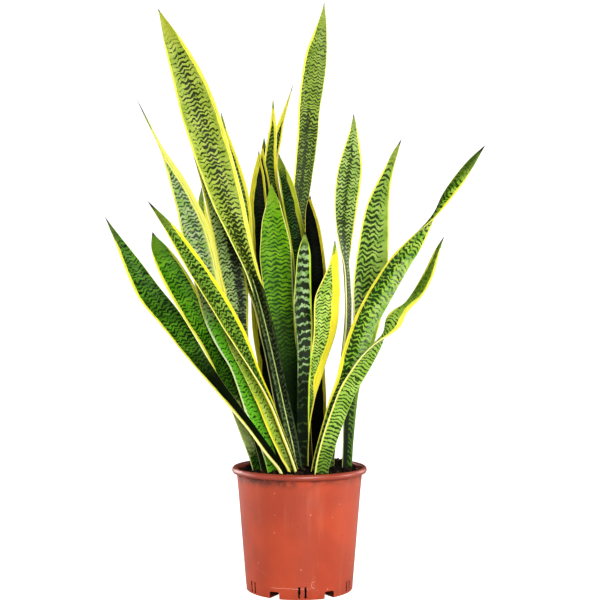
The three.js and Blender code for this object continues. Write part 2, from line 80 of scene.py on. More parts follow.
# Pot, millimetres
POT_SIDES = 192
OUTLINE_STEPS = 5
POT_HEIGHT = 190
FOOT_RADIUS = 82.5
SHOULDER_RADIUS = 95
SHOULDER_HEIGHT = 152
NECK_RADIUS = 97.3
NECK_HEIGHT = 175
RIM_RADIUS = 105
WALL = 1.6
FLOOR = 1.8
CHANNEL_ANGLES = [33 + 60 * k for k in range(6)]
CHANNEL_WIDTH = 16.5
CHANNEL_HEIGHT = 11
CHANNEL_START = 40
CHANNEL_CORNER = 3.0
DRAIN_RADIUS = 4.5
DRAIN_PLACE = 62
SLOT_ANGLES = [3 + side * 3.3 + 60 * k for k in range(6) for side in (-1, 1)]
SLOT_WIDTH = 2.4
SLOT_BOTTOM = 3
SLOT_TOP = 20
SLOT_STEPS = 11
SLOT_REACH = 5
SLOT_TEAR = (-0.3, 1.05)
SHARP_ANGLE = 28
WELD = 2e-6

# Soil, millimetres
SOIL_LEVEL = 180.5
SOIL_EDGE = 95.4
SOIL_GAP = 0.35
SOIL_HEAPS = [(2, -36, 6, 42), (58, 62, 10.5, 40), (20, 20, 4, 40), (-52, 74, 8, 24)]
LUMPS_PER_MM = 0.16
LUMP_HEIGHT = 1.5
SOIL_SIDES = 200
SOIL_RINGS = 64
PATCH_STEPS = 72
PATCH_ROWS = 10


# Node helpers


class Wire:
    """A value in a node tree. A sum that holds one adds its math node to the tree."""

    def __init__(self, socket):
        self.socket = socket
        self.tree = socket.id_data

    def __abs__(self):
        return number("ABSOLUTE", self)


OPERATIONS = {"add": "ADD", "sub": "SUBTRACT", "mul": "MULTIPLY", "truediv": "DIVIDE", "pow": "POWER"}
for sign, title in OPERATIONS.items():
    setattr(Wire, f"__{sign}__", lambda wire, other, title=title: number(title, wire, other))
    setattr(Wire, f"__r{sign}__", lambda wire, other, title=title: number(title, other, wire))


def feed(made, inputs):
    """Sets the inputs of a node, or links those whose value is a wire."""
    for key, value in inputs.items():
        if isinstance(value, Wire):
            value.tree.links.new(value.socket, made.inputs[key])
        else:
            made.inputs[key].default_value = value


def node(tree, kind, inputs=None, out=0, **settings):
    """One output of a new node, or the list of them all where out is None."""
    made = tree.nodes.new(kind)
    for key, value in settings.items():
        setattr(made, key, value)
    feed(made, inputs or {})
    return [Wire(socket) for socket in made.outputs] if out is None else Wire(made.outputs[out])


def tree_of(values):
    return next(value.tree for value in values if isinstance(value, Wire))


def number(operation, *values, clamp=False):
    """The result of one math node."""
    inputs = dict(enumerate(values))
    return node(tree_of(values), "ShaderNodeMath", inputs, operation=operation, use_clamp=clamp)


def times_plus(value, scale, start):
    """value * scale + start in one node."""
    return number("MULTIPLY_ADD", value, scale, start)


def vector(*values):
    return node(tree_of(values), "ShaderNodeCombineXYZ", dict(enumerate(values)))


def split(place):
    """The x, y and z of a vector."""
    return node(place.tree, "ShaderNodeSeparateXYZ", {0: place}, out=None)


def added(first, second):
    return node(first.tree, "ShaderNodeVectorMath", {0: first, 1: second}, operation="ADD")


def scaled(direction, amount):
    return node(direction.tree, "ShaderNodeVectorMath", {0: direction, "Scale": amount}, operation="SCALE")


def soft_step(value, low, high):
    """0 below low, 1 above high, smooth between. low may be above high, which turns it round."""
    inputs = {"Value": value, "From Min": low, "From Max": high}
    return node(value.tree, "ShaderNodeMapRange", inputs, interpolation_type="SMOOTHSTEP")


def within(value, low, high, ease):
    """1 between low and high, 0 outside, smooth over twice the ease."""
    return soft_step(value, low - ease, low + ease) * soft_step(value, high + ease, high - ease)


def grain(place, scale, detail=2.0, roughness=0.5, out=0):
    """Noise from 0 to 1 at a place."""
    inputs = {"Vector": place, "Scale": scale, "Detail": detail, "Roughness": roughness}
    return node(place.tree, "ShaderNodeTexNoise", inputs, out)


def colour(code):
    """Linear colour of a six-digit sRGB code, with alpha."""
    parts = [int(code[i : i + 2], 16) / 255 for i in (0, 2, 4)]
    linear = [c / 12.92 if c <= 0.04045 else ((c + 0.055) / 1.055) ** 2.4 for c in parts]
    return (*linear, 1.0)


def mix(share, first, second):
    """A colour from first, at share 0, to second, at share 1. Either may be a colour code."""
    first, second = (colour(value) if isinstance(value, str) else value for value in (first, second))
    return node(share.tree, "ShaderNodeMix", {0: share, 6: first, 7: second}, out=2, data_type="RGBA")


def node_group(kind, name, inputs, *outputs):
    """Makes a function a node group. The function takes the tree and its inputs and gives its outputs.

    An input is given as its starting number, or as the kind of its socket. The outputs are numbers in a
    shader group and shapes in a geometry group.
    """

    def build(work):
        tree = bpy.data.node_groups.new(name, f"{kind}NodeTree")

        def socket(label, way, sort):
            return tree.interface.new_socket(label, in_out=way, socket_type=f"NodeSocket{sort}")

        for label, start in inputs.items():
            if isinstance(start, str):
                socket(label, "INPUT", start)
            else:
                socket(label, "INPUT", "Int" if isinstance(start, int) else "Float").default_value = start
        for label in outputs:
            socket(label, "OUTPUT", "Float" if kind == "Shader" else "Geometry")
        entry = tree.nodes.new("NodeGroupInput").outputs
        results = work(tree, *[Wire(entry[label]) for label in inputs])
        results = results if len(outputs) > 1 else [results]
        feed(tree.nodes.new("NodeGroupOutput"), dict(zip(outputs, results)))
        return tree

    return build


def placed(tree, group, *values):
    """The outputs of a node group placed in a tree, with its inputs in their order."""
    made = node(tree, "ShaderNodeGroup", dict(enumerate(values)), out=None, node_tree=group)
    return made if len(made) > 1 else made[0]


def object_place(tree):
    return node(tree, "ShaderNodeTexCoord", out="Object")


# Leaf finish


@node_group(
    "Shader", "blade place", {}, "Across", "Along", "From left", "From right", "From tip", "Share across"
)
def blade_place(tree):
    """Where a point is on its blade, in millimetres."""
    place = node(tree, "ShaderNodeAttribute", out="Vector", attribute_name="blade")
    ends = node(tree, "ShaderNodeAttribute", out="Vector", attribute_name="blade_end")
    across, along, half = split(place)
    tip, share = split(ends)[:2]
    lengths = across, along, half + across, half - across, tip
    return *[value * MM_PER_METRE for value in lengths], share


@node_group("Shader", "zigzag bands", {
    "Across": 0.0, "Along": 0.0, "Spacing": 6.0, "Chevron height": 4.0, "Chevron width": 8.0,
    "Raggedness": 3.0, "Fill": 0.45, "Gaps": 0.5, "Softness": 0.15, "Seed": 0.0,
}, "Bands")
def zigzag_bands(tree, x, y, spacing, chevron, width, ragged, fill, gaps, softness, seed):
    """Dark cross bands that run in a ragged zigzag, highest at the midrib."""
    seed = seed * 37.3
    place = vector(x, y, seed)
    slow = grain(place, 0.045, 1.0) - 0.5
    quick = grain(place, 0.22, 3.0, 0.7) - 0.5
    tooth = number("PINGPONG", abs(times_plus(slow, 12.0, x)), width) / width
    height = y + tooth * chevron + quick * (ragged * 2.6) + slow * 14.0 + abs(x) * 0.12
    beat = number("PINGPONG", height / spacing, 0.5) * 2.0
    patchy = grain(vector(x * 0.45, y, seed), 0.22, 3.0, 0.7) - 0.5
    fill = times_plus(patchy, gaps * 2.0, fill)
    return soft_step(beat, fill + softness, fill - softness)


# Margins, millimetres: the run over which they thin out above the foot, how softly their span, their inner
# edge, their fine lines and their pale rim end, and the share of their width at which the fine line runs
TAPER_RUN = (190.0, 40.0)
SPAN_EASE = 20.0
MARGIN_EDGE = (0.45, -0.45)
LINE_PLACE = 0.66
LINE_EDGE = (0.55, 0.15)
RIM_EDGE = (0.8, 0.3)


@node_group("Shader", "leaf margins", {
    "Along": 0.0, "From left": 0.0, "From right": 0.0,
    "Left width": 5.0, "Left least": 0.3, "Left low": 0.0, "Left high": 1000.0,
    "Right width": 5.0, "Right least": 0.3, "Right low": 0.0, "Right high": 1000.0,
    "Fade": 0.0, "Taper": 0.3, "Seed": 0.0,
}, "Margin", "Lines", "Rim")
def leaf_margins(tree, along, from_left, from_right, *rest):
    """The yellow margins, the fine lines in them and their pale outer edge."""
    fade, taper, seed = rest[8:]
    kept = (1.0 - fade) * (1.0 - soft_step(along, *TAPER_RUN) * taper)
    masks = []
    for side, (gap, wide, least, low, high) in enumerate([(from_left, *rest[:4]), (from_right, *rest[4:8])]):
        place = vector(along, times_plus(seed, 11.7, 5.0 * side), 0.0)
        wander = grain(place, 0.02, 3.0, 0.6) - 0.5
        wide = least + (wide - least) * within(along, low, high, SPAN_EASE)
        wide = wide * times_plus(wander, 1.1, 1.0) * kept
        line = abs(gap / number("MAXIMUM", wide, 0.1) - LINE_PLACE)
        broken = soft_step(grain(place, 0.05), 0.42, 0.6)
        fine = soft_step(line * wide, *LINE_EDGE) * broken
        masks.append((soft_step(gap - wide, *MARGIN_EDGE), fine, soft_step(gap, *RIM_EDGE)))
    return [number("MAXIMUM", *values) for values in zip(*masks)]


# How softly a stain ends across, as a share, and along, and how far its ends wander, in millimetres
STAIN_EASE_ACROSS = 0.07
STAIN_EASE_ALONG = 16.0
STAIN_WANDER = 60.0


@node_group("Shader", "lengthwise stain", {
    "Share": 0.0, "Along": 0.0, "From": -1.0, "To": 1.0, "Low": 0.0, "High": 1000.0, "Feather": 0.2,
    "Mottling": 0.5, "Seed": 0.0,
}, "Stain")
def lengthwise_stain(tree, share, along, begin, end, low, high, feather, mottling, seed):
    """A strip of another colour along the blade, with feathered and mottled edges."""
    seed = seed * 5.3
    shake = grain(vector(share * 2.0, along * 0.22, seed), 1.0, 3.0, 0.65) - 0.5
    across = within(share + shake * (feather * 3.0), begin, end, STAIN_EASE_ACROSS)
    run = within(times_plus(shake, STAIN_WANDER, along), low, high, STAIN_EASE_ALONG)
    speckle = vector(share * 5.0, along * 0.2, seed + 9.0)
    spots = soft_step(grain(speckle, 1.0, 3.0, 0.65), 0.4, 0.6)
    return across * run * (1.0 - mottling * (1.0 - spots))


# How far the edges of the plain tip, the dark point and the foot wander, in millimetres
TIP_WANDER = 12.0
POINT_WANDER = 3.0
FOOT_WANDER = 30.0


@node_group("Shader", "leaf ends", {
    "Along": 0.0, "From tip": 0.0, "Across": 0.0, "Plain tip": 40.0, "Dark point": 6.0, "Foot": 90.0,
    "Foot full": 25.0, "Seed": 0.0,
}, "Plain", "Point", "Foot")
def leaf_ends(tree, along, from_tip, across, plain, dark, foot, foot_full, seed):
    """The plain tip, its hard dark point, and the foot near the soil."""
    wander = grain(vector(across, along, seed), 0.12, 3.0) - 0.5
    return (
        soft_step(times_plus(wander, TIP_WANDER, from_tip), plain, plain * 0.35),
        soft_step(times_plus(wander, POINT_WANDER, from_tip), dark, dark * 0.4),
        soft_step(times_plus(wander, FOOT_WANDER, along), foot, foot_full),
    )


@node_group("Shader", "waxy skin", {"Across": 0.0, "Along": 0.0, "Seed": 0.0}, "Height", "Roughness", "Cloud")
def waxy_skin(tree, across, along, seed):
    """Waxy leaf skin: fine veins along the blade and faint pores."""
    place = vector(across, along, seed)
    veins = grain(vector(across * 1.6, along * 0.02, seed), 0.7)
    pores = grain(place, 1.4, 2.0, 0.7)
    cloud = grain(place, 0.06, 3.0, 0.6)
    return times_plus(veins, 0.7, pores * 0.3), times_plus(cloud, 0.22, 0.3), cloud


# Cells per metre for specks of one millimetre
SPECK_SPACING = 250.0


@node_group("Shader", "specks", {"Size": 0.8, "Amount": 0.1, "Seed": 0.0}, "Specks")
def specks(tree, size, amount, seed):
    """Scattered specks, such as dust, grit or soil, on object coordinates."""
    moved = added(object_place(tree), vector(seed, 0.0, 0.0))
    inputs = {"Vector": moved, "Scale": SPECK_SPACING / size}
    distance, paint = node(tree, "ShaderNodeTexVoronoi", inputs, out=None)[:2]
    chosen = node(tree, "ShaderNodeSeparateColor", {0: paint})
    return number("LESS_THAN", chosen, amount) * soft_step(distance, 0.3, 0.18)


def new_material(name, gloss):
    material = bpy.data.materials.new(name)
    material.use_nodes = True
    shader = material.node_tree.nodes["Principled BSDF"]
    shader.inputs["Specular IOR Level"].default_value = gloss
    return material, material.node_tree, shader


def dress(shader, paint, roughness, height, distance, strength=1.0):
    """Gives a shader its paint and roughness, and raises its surface by a height."""
    bump = node(paint.tree, "ShaderNodeBump", {"Height": height, "Distance": distance, "Strength": strength})
    feed(shader, {"Base Color": paint, "Roughness": roughness, "Normal": bump})


# Looks of the leaves. Colours are sRGB codes and lengths are millimetres. left and right are the widths of
# the yellow margins, as seen with the upper face to the front. They have them in their span, and elsewhere
# they are as wide as their least. fill_low and fill say how much of the blade the dark bands take at the foot
# and at the tip, and reach is where the bands lie across it, from -1 to 1. A stain is a strip of another
# colour: its reach across, its reach along from the foot, amount, feather, mottling and colour. A stain
# without a colour thickens the dark bands instead.
# Painted shade in these looks: the foot colours, which darken most blades near the soil, the dark grounds of
# the leaves at the back, and the near-black stains low on some blades.
EVERYWHERE = (-100.0, 2000.0)
PLAIN_LOOK = dict(
    ground="9cb356", ground2="84a040", dark="1c2e06", spacing=6.5, chevron=3.6, tooth=5.5, ragged=2.4,
    fill=0.34, fill_low=0.5, gaps=0.75, soft=0.12, bands=0.96, reach=(-0.92, 0.92), gloss=LEAF_GLOSS,
    left=4.0, right=4.0, taper=0.3, left_least=0.3, right_least=0.3, span=EVERYWHERE, left_span=None,
    right_span=None, margin="f3ee60", line="a8ae34", rim="fbf7b0", stains=(), plain=45.0, tip="7f9024",
    point=7.0, point_colour="1c130d", foot=200.0, foot_full=25.0, foot_colour="4c6a22",
)
# Painted shade for the leaves at the back: near-black feet that reach far up, narrow margins low down, and
# the dark grounds given in each look below.
BACK_SHADE_LOOK = dict(gloss=0.06, span=(190, 900), foot_full=120, foot_colour="0a1204")
LOOKS = {
    "leaf_tall_left": dict(
        gloss=0.12, ground="adbc54", ground2="8fa53a", dark="142404", spacing=7.4, chevron=4.0, tooth=5.8,
        soft=0.17, left=2.8, right=5.6, fill=0.11, fill_low=0.42, plain=75, ragged=2.8, reach=(-0.8, 0.72),
        foot=400, foot_full=200, foot_colour="8aa274", tip="a8ab34", gaps=0.9, span=(330, 900),
        left_least=-0.6, right_least=-0.6,
        stains=(
            (-0.3, 0.26, 300, 700, 0.36, 0.25, 0.5, None),
            (-0.6, 0.55, 300, 720, 0.14, 0.3, 0.0, None),
            (-0.7, 0.6, 300, 440, 0.3, 0.3, 0.6, None),
            (-1.1, 1.1, -50, 340, 0.3, 0.3, 0.3, None),
            # The next two near-black stains are painted shade on the lower blade.
            (-1.1, -0.15, -50, 330, 0.92, 0.2, 0.55, "14240b"),
            (-0.1, 1.1, -50, 350, 0.95, 0.2, 0.22, "091205"),
            (-0.2, -0.02, 60, 340, 0.9, 0.04, 0.3, "d6e68e"),
        ),
    ),
    "leaf_tall_right": dict(
        ground="90a640", ground2="768f30", dark="1a2a05", spacing=5.6, chevron=3.2, tooth=5.0, left=3.8,
        right=1.2, fill=0.28, fill_low=0.66, plain=60, foot=620, foot_full=280, foot_colour="38541c",
        tip="8f9c2a",
        stains=((-0.14, 0.16, 380, 620, 0.45, 0.25, 0.4, None), (-0.95, 0.95, 60, 600, 0.34, 0.3, 0.6, None)),
    ),
    "leaf_far_left": dict(
        gloss=0.12, ground="5f9428", ground2="3c6818", dark="0c2204", spacing=6.8, fill=0.32, fill_low=0.66,
        gaps=1.0, ragged=4.0, soft=0.22, left=7.4, left_least=4.4, left_span=(-100, 235), right=0.6, plain=60,
        point=14, tip="4c5a16", foot=300, foot_full=215, foot_colour="101c08", rim="f4f0b4", taper=0.45,
        # The near-black stain is painted shade on the lower blade.
        stains=((-1.1, 1.1, -80, 230, 0.9, 0.15, 0.2, "080e05"),),
    ),
    "leaf_left_second": dict(
        gloss=0.12, ground="74ac2a", ground2="508c18", dark="123004", fill=0.28, fill_low=0.72, gaps=1.0,
        ragged=3.5, soft=0.25, left=5.2, right=3.6, plain=55, point=9, tip="5c7c1c", foot=260,
        foot_colour="40641c", span=(200, 900),
        stains=(
            (-1.1, 0.7, 72, 150, 0.9, 0.12, 0.3, "dcea9e"),
            # The next, dark stain is painted shade where the blade runs behind the leaf in front.
            (-1.1, 1.1, 150, 260, 0.6, 0.2, 0.3, "16300a"),
        ),
    ),
    "leaf_left_third": dict(
        ground="93b446", ground2="6c9430", dark="142c04", spacing=7.0, fill=0.36, gaps=0.9, ragged=3.6,
        right=5.6, taper=0.6, margin="f8ec2e", plain=80, tip="5c6c18", point=22, foot=240,
        foot_colour="4c6f22", stains=((-0.4, 0.4, 60, 460, 0.2, 0.3, 0.5, None),),
    ),
    "leaf_left_banded": dict(
        ground="d8ee70", ground2="bcdc50", dark="2c4c10", spacing=7.0, left=5.0, left_span=(-100, 170),
        right=4.6, right_least=1.2, right_span=(90, 165), fill=0.06, fill_low=0.06, gaps=0.8, margin="fdf336",
        rim="faf27a", taper=0.1, foot=60, foot_colour="a8c650",
        stains=((-0.3, 0.3, -50, 250, 0.22, 0.3, 0.4, None),),
    ),
    "leaf_left_tailed": dict(
        ground="a3b482", ground2="7fa344", dark="1c3410", left=2.8, right=8.6, fill=0.4, fill_low=0.16,
        gaps=1.0, ragged=3.6, soft=0.16, plain=110, tip="8c9446", point=44, span=(300, 900), foot=310,
        foot_full=270, foot_colour="74c42a", margin="d9d866", line="98a040", rim="f2ec60",
        stains=(
            (-0.2, 0.25, 300, 520, 0.25, 0.3, 0.4, None),
            (0.5, 0.72, 300, 560, 0.7, 0.1, 0.3, "b6be6a"),
            (-1.1, -0.84, 60, 290, 0.9, 0.05, 0.2, "e4ecd0"),
        ),
    ),
    "leaf_left_small_tip": dict(
        ground="7a9a34", ground2="5e842a", dark="112a06", left=4.8, plain=40, margin="eee44a",
        span=(260, 900), foot=330, foot_full=200, foot_colour="0c1606",
    ),
    "leaf_left_back_inner": dict(
        ground="b6cc88", ground2="8eaa60", dark="12240a", fill=0.28, gaps=1.0, ragged=4.0, soft=0.16,
        left=3.2, right=3.2, margin="eae24e", span=(260, 900), foot=300, foot_full=180, foot_colour="0c1606",
        # Their second, dark stain is painted shade along the right of the blade.
        stains=((0.05, 0.7, 60, 480, 0.5, 0.3, 0.4, None), (0.1, 0.6, 60, 450, 0.7, 0.2, 0.4, "0f1d08")),
    ),
    "leaf_left_back_outer": dict(
        ground="76902e", ground2="5a7a22", dark="142a08", left=3.2, right=5.2, margin="e0d63a", fill=0.46,
        span=(260, 900), foot=330, foot_full=200, foot_colour="0c1606",
    ),
    "leaf_back_golden_edge": dict(
        **BACK_SHADE_LOOK, ground="1c2c0a", ground2="121f06", dark="050a02", left=9.0, margin="bcb632",
        line="5c641c", rim="e6de60", fill=0.6, plain=14, foot=160,
    ),
    "leaf_back_narrow": dict(
        **BACK_SHADE_LOOK, ground="22380e", ground2="162608", dark="050a02", left=3.6, right=3.6, margin="c0b838",
        rim="ded868", fill=0.6, plain=14, foot=160,
    ),
    "leaf_back_far_left": dict(
        **BACK_SHADE_LOOK, ground="52661c", ground2="364c12", dark="0a1604", left=3.2, right=3.2, margin="b8b03a",
        rim="d2cc6a", fill=0.55, plain=25, foot=240,
    ),
    "leaf_back_dark": dict(
        **BACK_SHADE_LOOK, ground="42581a", ground2="283c0c", dark="081404", left=3.2, right=3.2, margin="b6ae3a",
        rim="d2cc6a", fill=0.55, plain=20, foot=240,
    ),
    "leaf_back_tall": dict(
        **BACK_SHADE_LOOK, ground="6a8224", ground2="50691a", dark="122006", left=3.0, right=4.4, margin="dcd244",
        fill=0.5, plain=30, foot=260,
    ),
    "leaf_back_tailed": dict(
        **BACK_SHADE_LOOK, ground="607a26", ground2="465e1a", dark="0e1c06", left=5.0, right=2.8, margin="e4da4c",
        fill=0.5, plain=34, point=22, foot=260,
    ),
    "leaf_back_wide_edge": dict(
        **BACK_SHADE_LOOK, ground="3c5e20", ground2="22400e", dark="060f03", left=2.6, right=6.6, margin="9fa82a",
        line="c9cc5a", rim="d2d45c", fill=0.6, spacing=5.0, foot=220,
    ),
    "leaf_centre_fresh": dict(
        gloss=0.12, ground="78a812", ground2="5c900a", dark="1e4804", spacing=6.8, tooth=7.5, ragged=2.8,
        fill=0.2, fill_low=0.85, left=1.4, right=1.4, margin="e2e66e", rim="efeb9a", foot=300, foot_full=150,
        span=(230, 900), left_least=-0.6, right_least=-0.6, foot_colour="091204", plain=50, tip="7f9f1a",
        gaps=0.8, reach=(-1.1, 1.1),
        stains=(
            (-0.16, 0.16, 100, 430, 0.2, 0.2, 0.5, None),
            # The next two dark stains are painted shade on the lower blade.
            (-1.1, 1.1, -50, 200, 0.85, 0.2, 0.3, "0a1604"),
            (-1.1, 1.1, 150, 275, 0.6, 0.25, 0.5, "142c08"),
        ),
    ),
    "leaf_centre_banded": dict(
        gloss=0.12, ground="a6c28c", ground2="6f9446", dark="071503", spacing=13.0, chevron=2.0, tooth=6.0,
        ragged=4.6, fill=0.74, fill_low=0.84, gaps=0.6, left=2.6, right=3.2, margin="bcd83c", rim="d2e464",
        left_span=(300, 900), left_least=-0.6, right_span=(90, 900), plain=30, foot=205, foot_full=160,
        foot_colour="0b1604", stains=((-1.1, 1.1, 290, 420, -0.2, 0.2, 0.0, None),),
    ),
    "leaf_centre_right": dict(
        ground="bcd468", ground2="98bc48", dark="24400c", spacing=5.5, left=2.6, right=11.0, right_least=2.6,
        right_span=(165, 900), margin="ede03c", line="d2c22c", gaps=0.9, plain=30, foot_full=110,
        foot_colour="0f1d06", left_least=1.6, left_span=(200, 900),
    ),
    # Painted shade: this leaf is near black all over, on both faces, for the shade it stands in.
    "leaf_back_right_dark": dict(
        gloss=0.03, ground="0e1606", ground2="080e04", dark="020401", left=0.8, right=4.4, margin="b3a82e",
        line="5c5616", rim="d6ce60", fill=0.5, plain=8, point=10, foot=100, foot_colour="060a03",
    ),
    "leaf_right_upright": dict(
        ground="a6be68", ground2="8aa84c", spacing=6.0, left=2.2, right=3.0, fill=0.3, plain=36, point=9,
        foot=420, foot_colour="4a6a24",
        stains=(
            (-0.16, 0.16, 330, 560, 0.45, 0.25, 0.4, None),
            (-0.95, 0.1, 60, 560, 0.14, 0.3, 0.5, None),
            (-0.95, 0.95, 60, 440, 0.26, 0.3, 0.5, None),
        ),
    ),
    "leaf_right_broad": dict(
        ground="9cb852", ground2="7ca038", dark="0f2402", spacing=8.4, chevron=6.0, tooth=9.0, fill=0.28,
        left=2.6, right=2.4, span=(250, 900), plain=60, point=14, tip="8c9630", reach=(-0.95, 0.6),
        ragged=2.8, foot=330, foot_colour="3a5a1e",
        stains=(
            # The first, near-black stain is painted shade in the hollow of the stalk.
            (-1.1, -0.15, -50, 240, 0.85, 0.2, 0.2, "0c1a06"),
            (-1.1, -0.1, -50, 250, 0.9, 0.2, 0.2, None),
            (-0.1, 1.1, -50, 230, 0.22, 0.3, 0.4, None),
            (-0.85, 0.1, 200, 560, 0.26, 0.4, 0.5, None),
        ),
    ),
    "leaf_right_big": dict(
        ground="a4c44c", ground2="6aa01a", dark="0f2c03", spacing=7.5, chevron=3.5, tooth=7.0, left=6.2,
        left_least=2.2, rim="ece26a", taper=0.75, left_span=(150, 430), right=3.4, right_least=0.2,
        right_span=(425, 900), fill=0.32, gaps=0.9, ragged=3.4, margin="f6ea48", plain=80, tip="4c5c18",
        point=20, reach=(-0.95, 0.9), foot=240, foot_colour="3c5c14",
        stains=(
            (-0.85, 0.1, 120, 400, 0.42, 0.4, 0.6, None),
            (0.3, 1.0, 200, 400, 0.5, 0.3, 0.9, "a8ba8c"),
            (-0.4, 0.5, 455, 600, 0.75, 0.4, 0.5, "33480c"),
        ),
    ),
    "leaf_far_right": dict(
        ground="a6c85c", ground2="86ac3a", dark="162e06", spacing=5.6, chevron=1.6, tooth=10.0, ragged=2.2,
        left=8.0, left_least=2.9, left_span=(290, 340), rim="f6f4b8", right=7.5, right_least=0.4,
        right_span=(292, 900), fill=0.24, gaps=0.8, plain=40, tip="4c5c18", point=12, foot=120,
        foot_colour="5c7c24",
        stains=(
            (-1.1, 1.1, 318, 470, -0.6, 0.1, 0.0, None),
            (-1.1, 1.1, 345, 470, 0.85, 0.1, 0.0, "6c8c1c"),
            (-0.75, 0.25, 335, 450, 0.8, 0.4, 0.8, "2a420a"),
        ),
    ),
}


def leaf_material(name, seed, length):
    """The finish of one leaf, by its look."""
    look = SimpleNamespace(**{**PLAIN_LOOK, **LOOKS[name]})
    material, tree, shader = new_material(name.replace("leaf_", "leaf_skin_"), look.gloss)
    across, along, from_left, from_right, from_tip, share = placed(tree, blade_place)
    height, roughness, cloud = placed(tree, waxy_skin, across, along, seed)
    plain, point, foot = placed(
        tree, leaf_ends, along, from_tip, across, look.plain, look.point, look.foot, look.foot_full, seed
    )
    filled = node(tree, "ShaderNodeMapRange", {
        "Value": along, "From Max": length * MM_PER_METRE, "To Min": look.fill_low, "To Max": look.fill,
    })
    stains = []
    for k, (left, right, begin, end, amount, feather, mottling, code) in enumerate(look.stains):
        values = share, along, left, right, begin, end, feather, mottling, seed * 3.0 + k
        stain = placed(tree, lengthwise_stain, *values) * amount
        if code:
            stains.append((stain, code))
        else:
            filled = filled + stain
    bands = placed(
        tree, zigzag_bands, across, along, look.spacing, look.chevron, look.tooth, look.ragged, filled,
        look.gaps, look.soft, seed
    )
    inner = placed(tree, lengthwise_stain, share, along, *look.reach, *EVERYWHERE, 0.25, 0.0, seed + 0.5)
    margin, lines, rim = placed(
        tree, leaf_margins, along, from_left, from_right,
        look.left, look.left_least, *(look.left_span or look.span),
        look.right, look.right_least, *(look.right_span or look.span), plain, look.taper, seed
    )
    tone = soft_step(cloud, 0.35, 0.65)
    # The foot near the soil takes the foot colour, which on most leaves is painted shade, near black in the
    # middle and at the back of the clump.
    paint = mix(foot, mix(tone, look.ground, look.ground2), mix(tone * 0.25, look.foot_colour, look.ground2))
    paint = mix(plain * 0.75, paint, look.tip)
    paint = mix(bands * inner * look.bands * times_plus(plain, -0.8, 1.0), paint, look.dark)
    # Stains in their own colours; the near-black ones low on some blades are painted shade.
    for stain, code in stains:
        paint = mix(stain, paint, code)
    paint = mix(margin, paint, mix(rim, mix(lines, look.margin, look.line), look.rim))
    paint = mix(point, paint, look.point_colour)
    dress(shader, paint, times_plus(foot, 0.3, roughness), times_plus(bands, -0.25, height), LEAF_RELIEF)
    return material


# Blades


def cross_sections(node_name):
    """The blade's sections from foot to tip: middle of the margins, side, fold, thickness and width."""
    copy = bmesh.new()
    copy.from_mesh(frame["nodes"][node_name].data)
    bmesh.ops.remove_doubles(copy, verts=copy.verts, dist=1e-6)
    layer = [max(copy.verts, key=lambda v: len(v.link_edges))]
    seen = set(layer)
    layers = []
    while layer:
        layers.append(np.array([tuple(v.co) for v in layer]))
        reached = []
        for vert in layer:
            for edge in vert.link_edges:
                other = edge.other_vert(vert)
                if other not in seen:
                    seen.add(other)
                    reached.append(other)
        layer = reached
    copy.free()
    rows = []
    before = np.array([1.0, 0.0, 0.0])
    for points in layers[:0:-1]:
        gaps = np.linalg.norm(points[:, None] - points[None], axis=2)
        first, second = np.unravel_index(gaps.argmax(), gaps.shape)
        side = points[first] - points[second]
        width = np.linalg.norm(side)
        side /= width
        if side @ before < 0:
            side = -side
        before = side
        middle = (points[first] + points[second]) / 2
        near = points[np.argsort(abs((points - middle) @ side))[:2]]
        swell = np.linalg.norm(np.ptp(near, axis=0))
        rows.append((middle, side, near.mean(axis=0) - middle, [swell], [width]))
    rows.append((layers[0][0], before, np.zeros(3), [0.0], [0.0]))
    return [np.array(column) for column in zip(*rows)]


def eased(values, places):
    """Catmull-Rom curve through evenly numbered values, read at places."""
    last = len(values) - 1
    at = np.clip(places, 0, last - 1e-9)
    i = np.floor(at).astype(int)
    f = (at - i)[:, None]
    a, b, c, d = (values[np.clip(i + k, 0, last)] for k in (-1, 0, 1, 2))
    return b + 0.5 * f * (c - a + f * (2 * a - 5 * b + 4 * c - d + f * (3 * (b - c) + d - a)))


def smoothed(values, spread):
    """Values with small kinks taken out, and the ends kept."""
    reach = int(3 * spread)
    weights = np.exp(-0.5 * (np.arange(-reach, reach + 1) / spread) ** 2)
    weights /= weights.sum()
    start = 2 * values[:1] - values[1 : reach + 1][::-1]
    end = 2 * values[-1:] - values[-reach - 1 : -1][::-1]
    padded = np.concatenate([start, values, end])
    return np.stack([np.convolve(column, weights, "valid") for column in padded.T], axis=1)


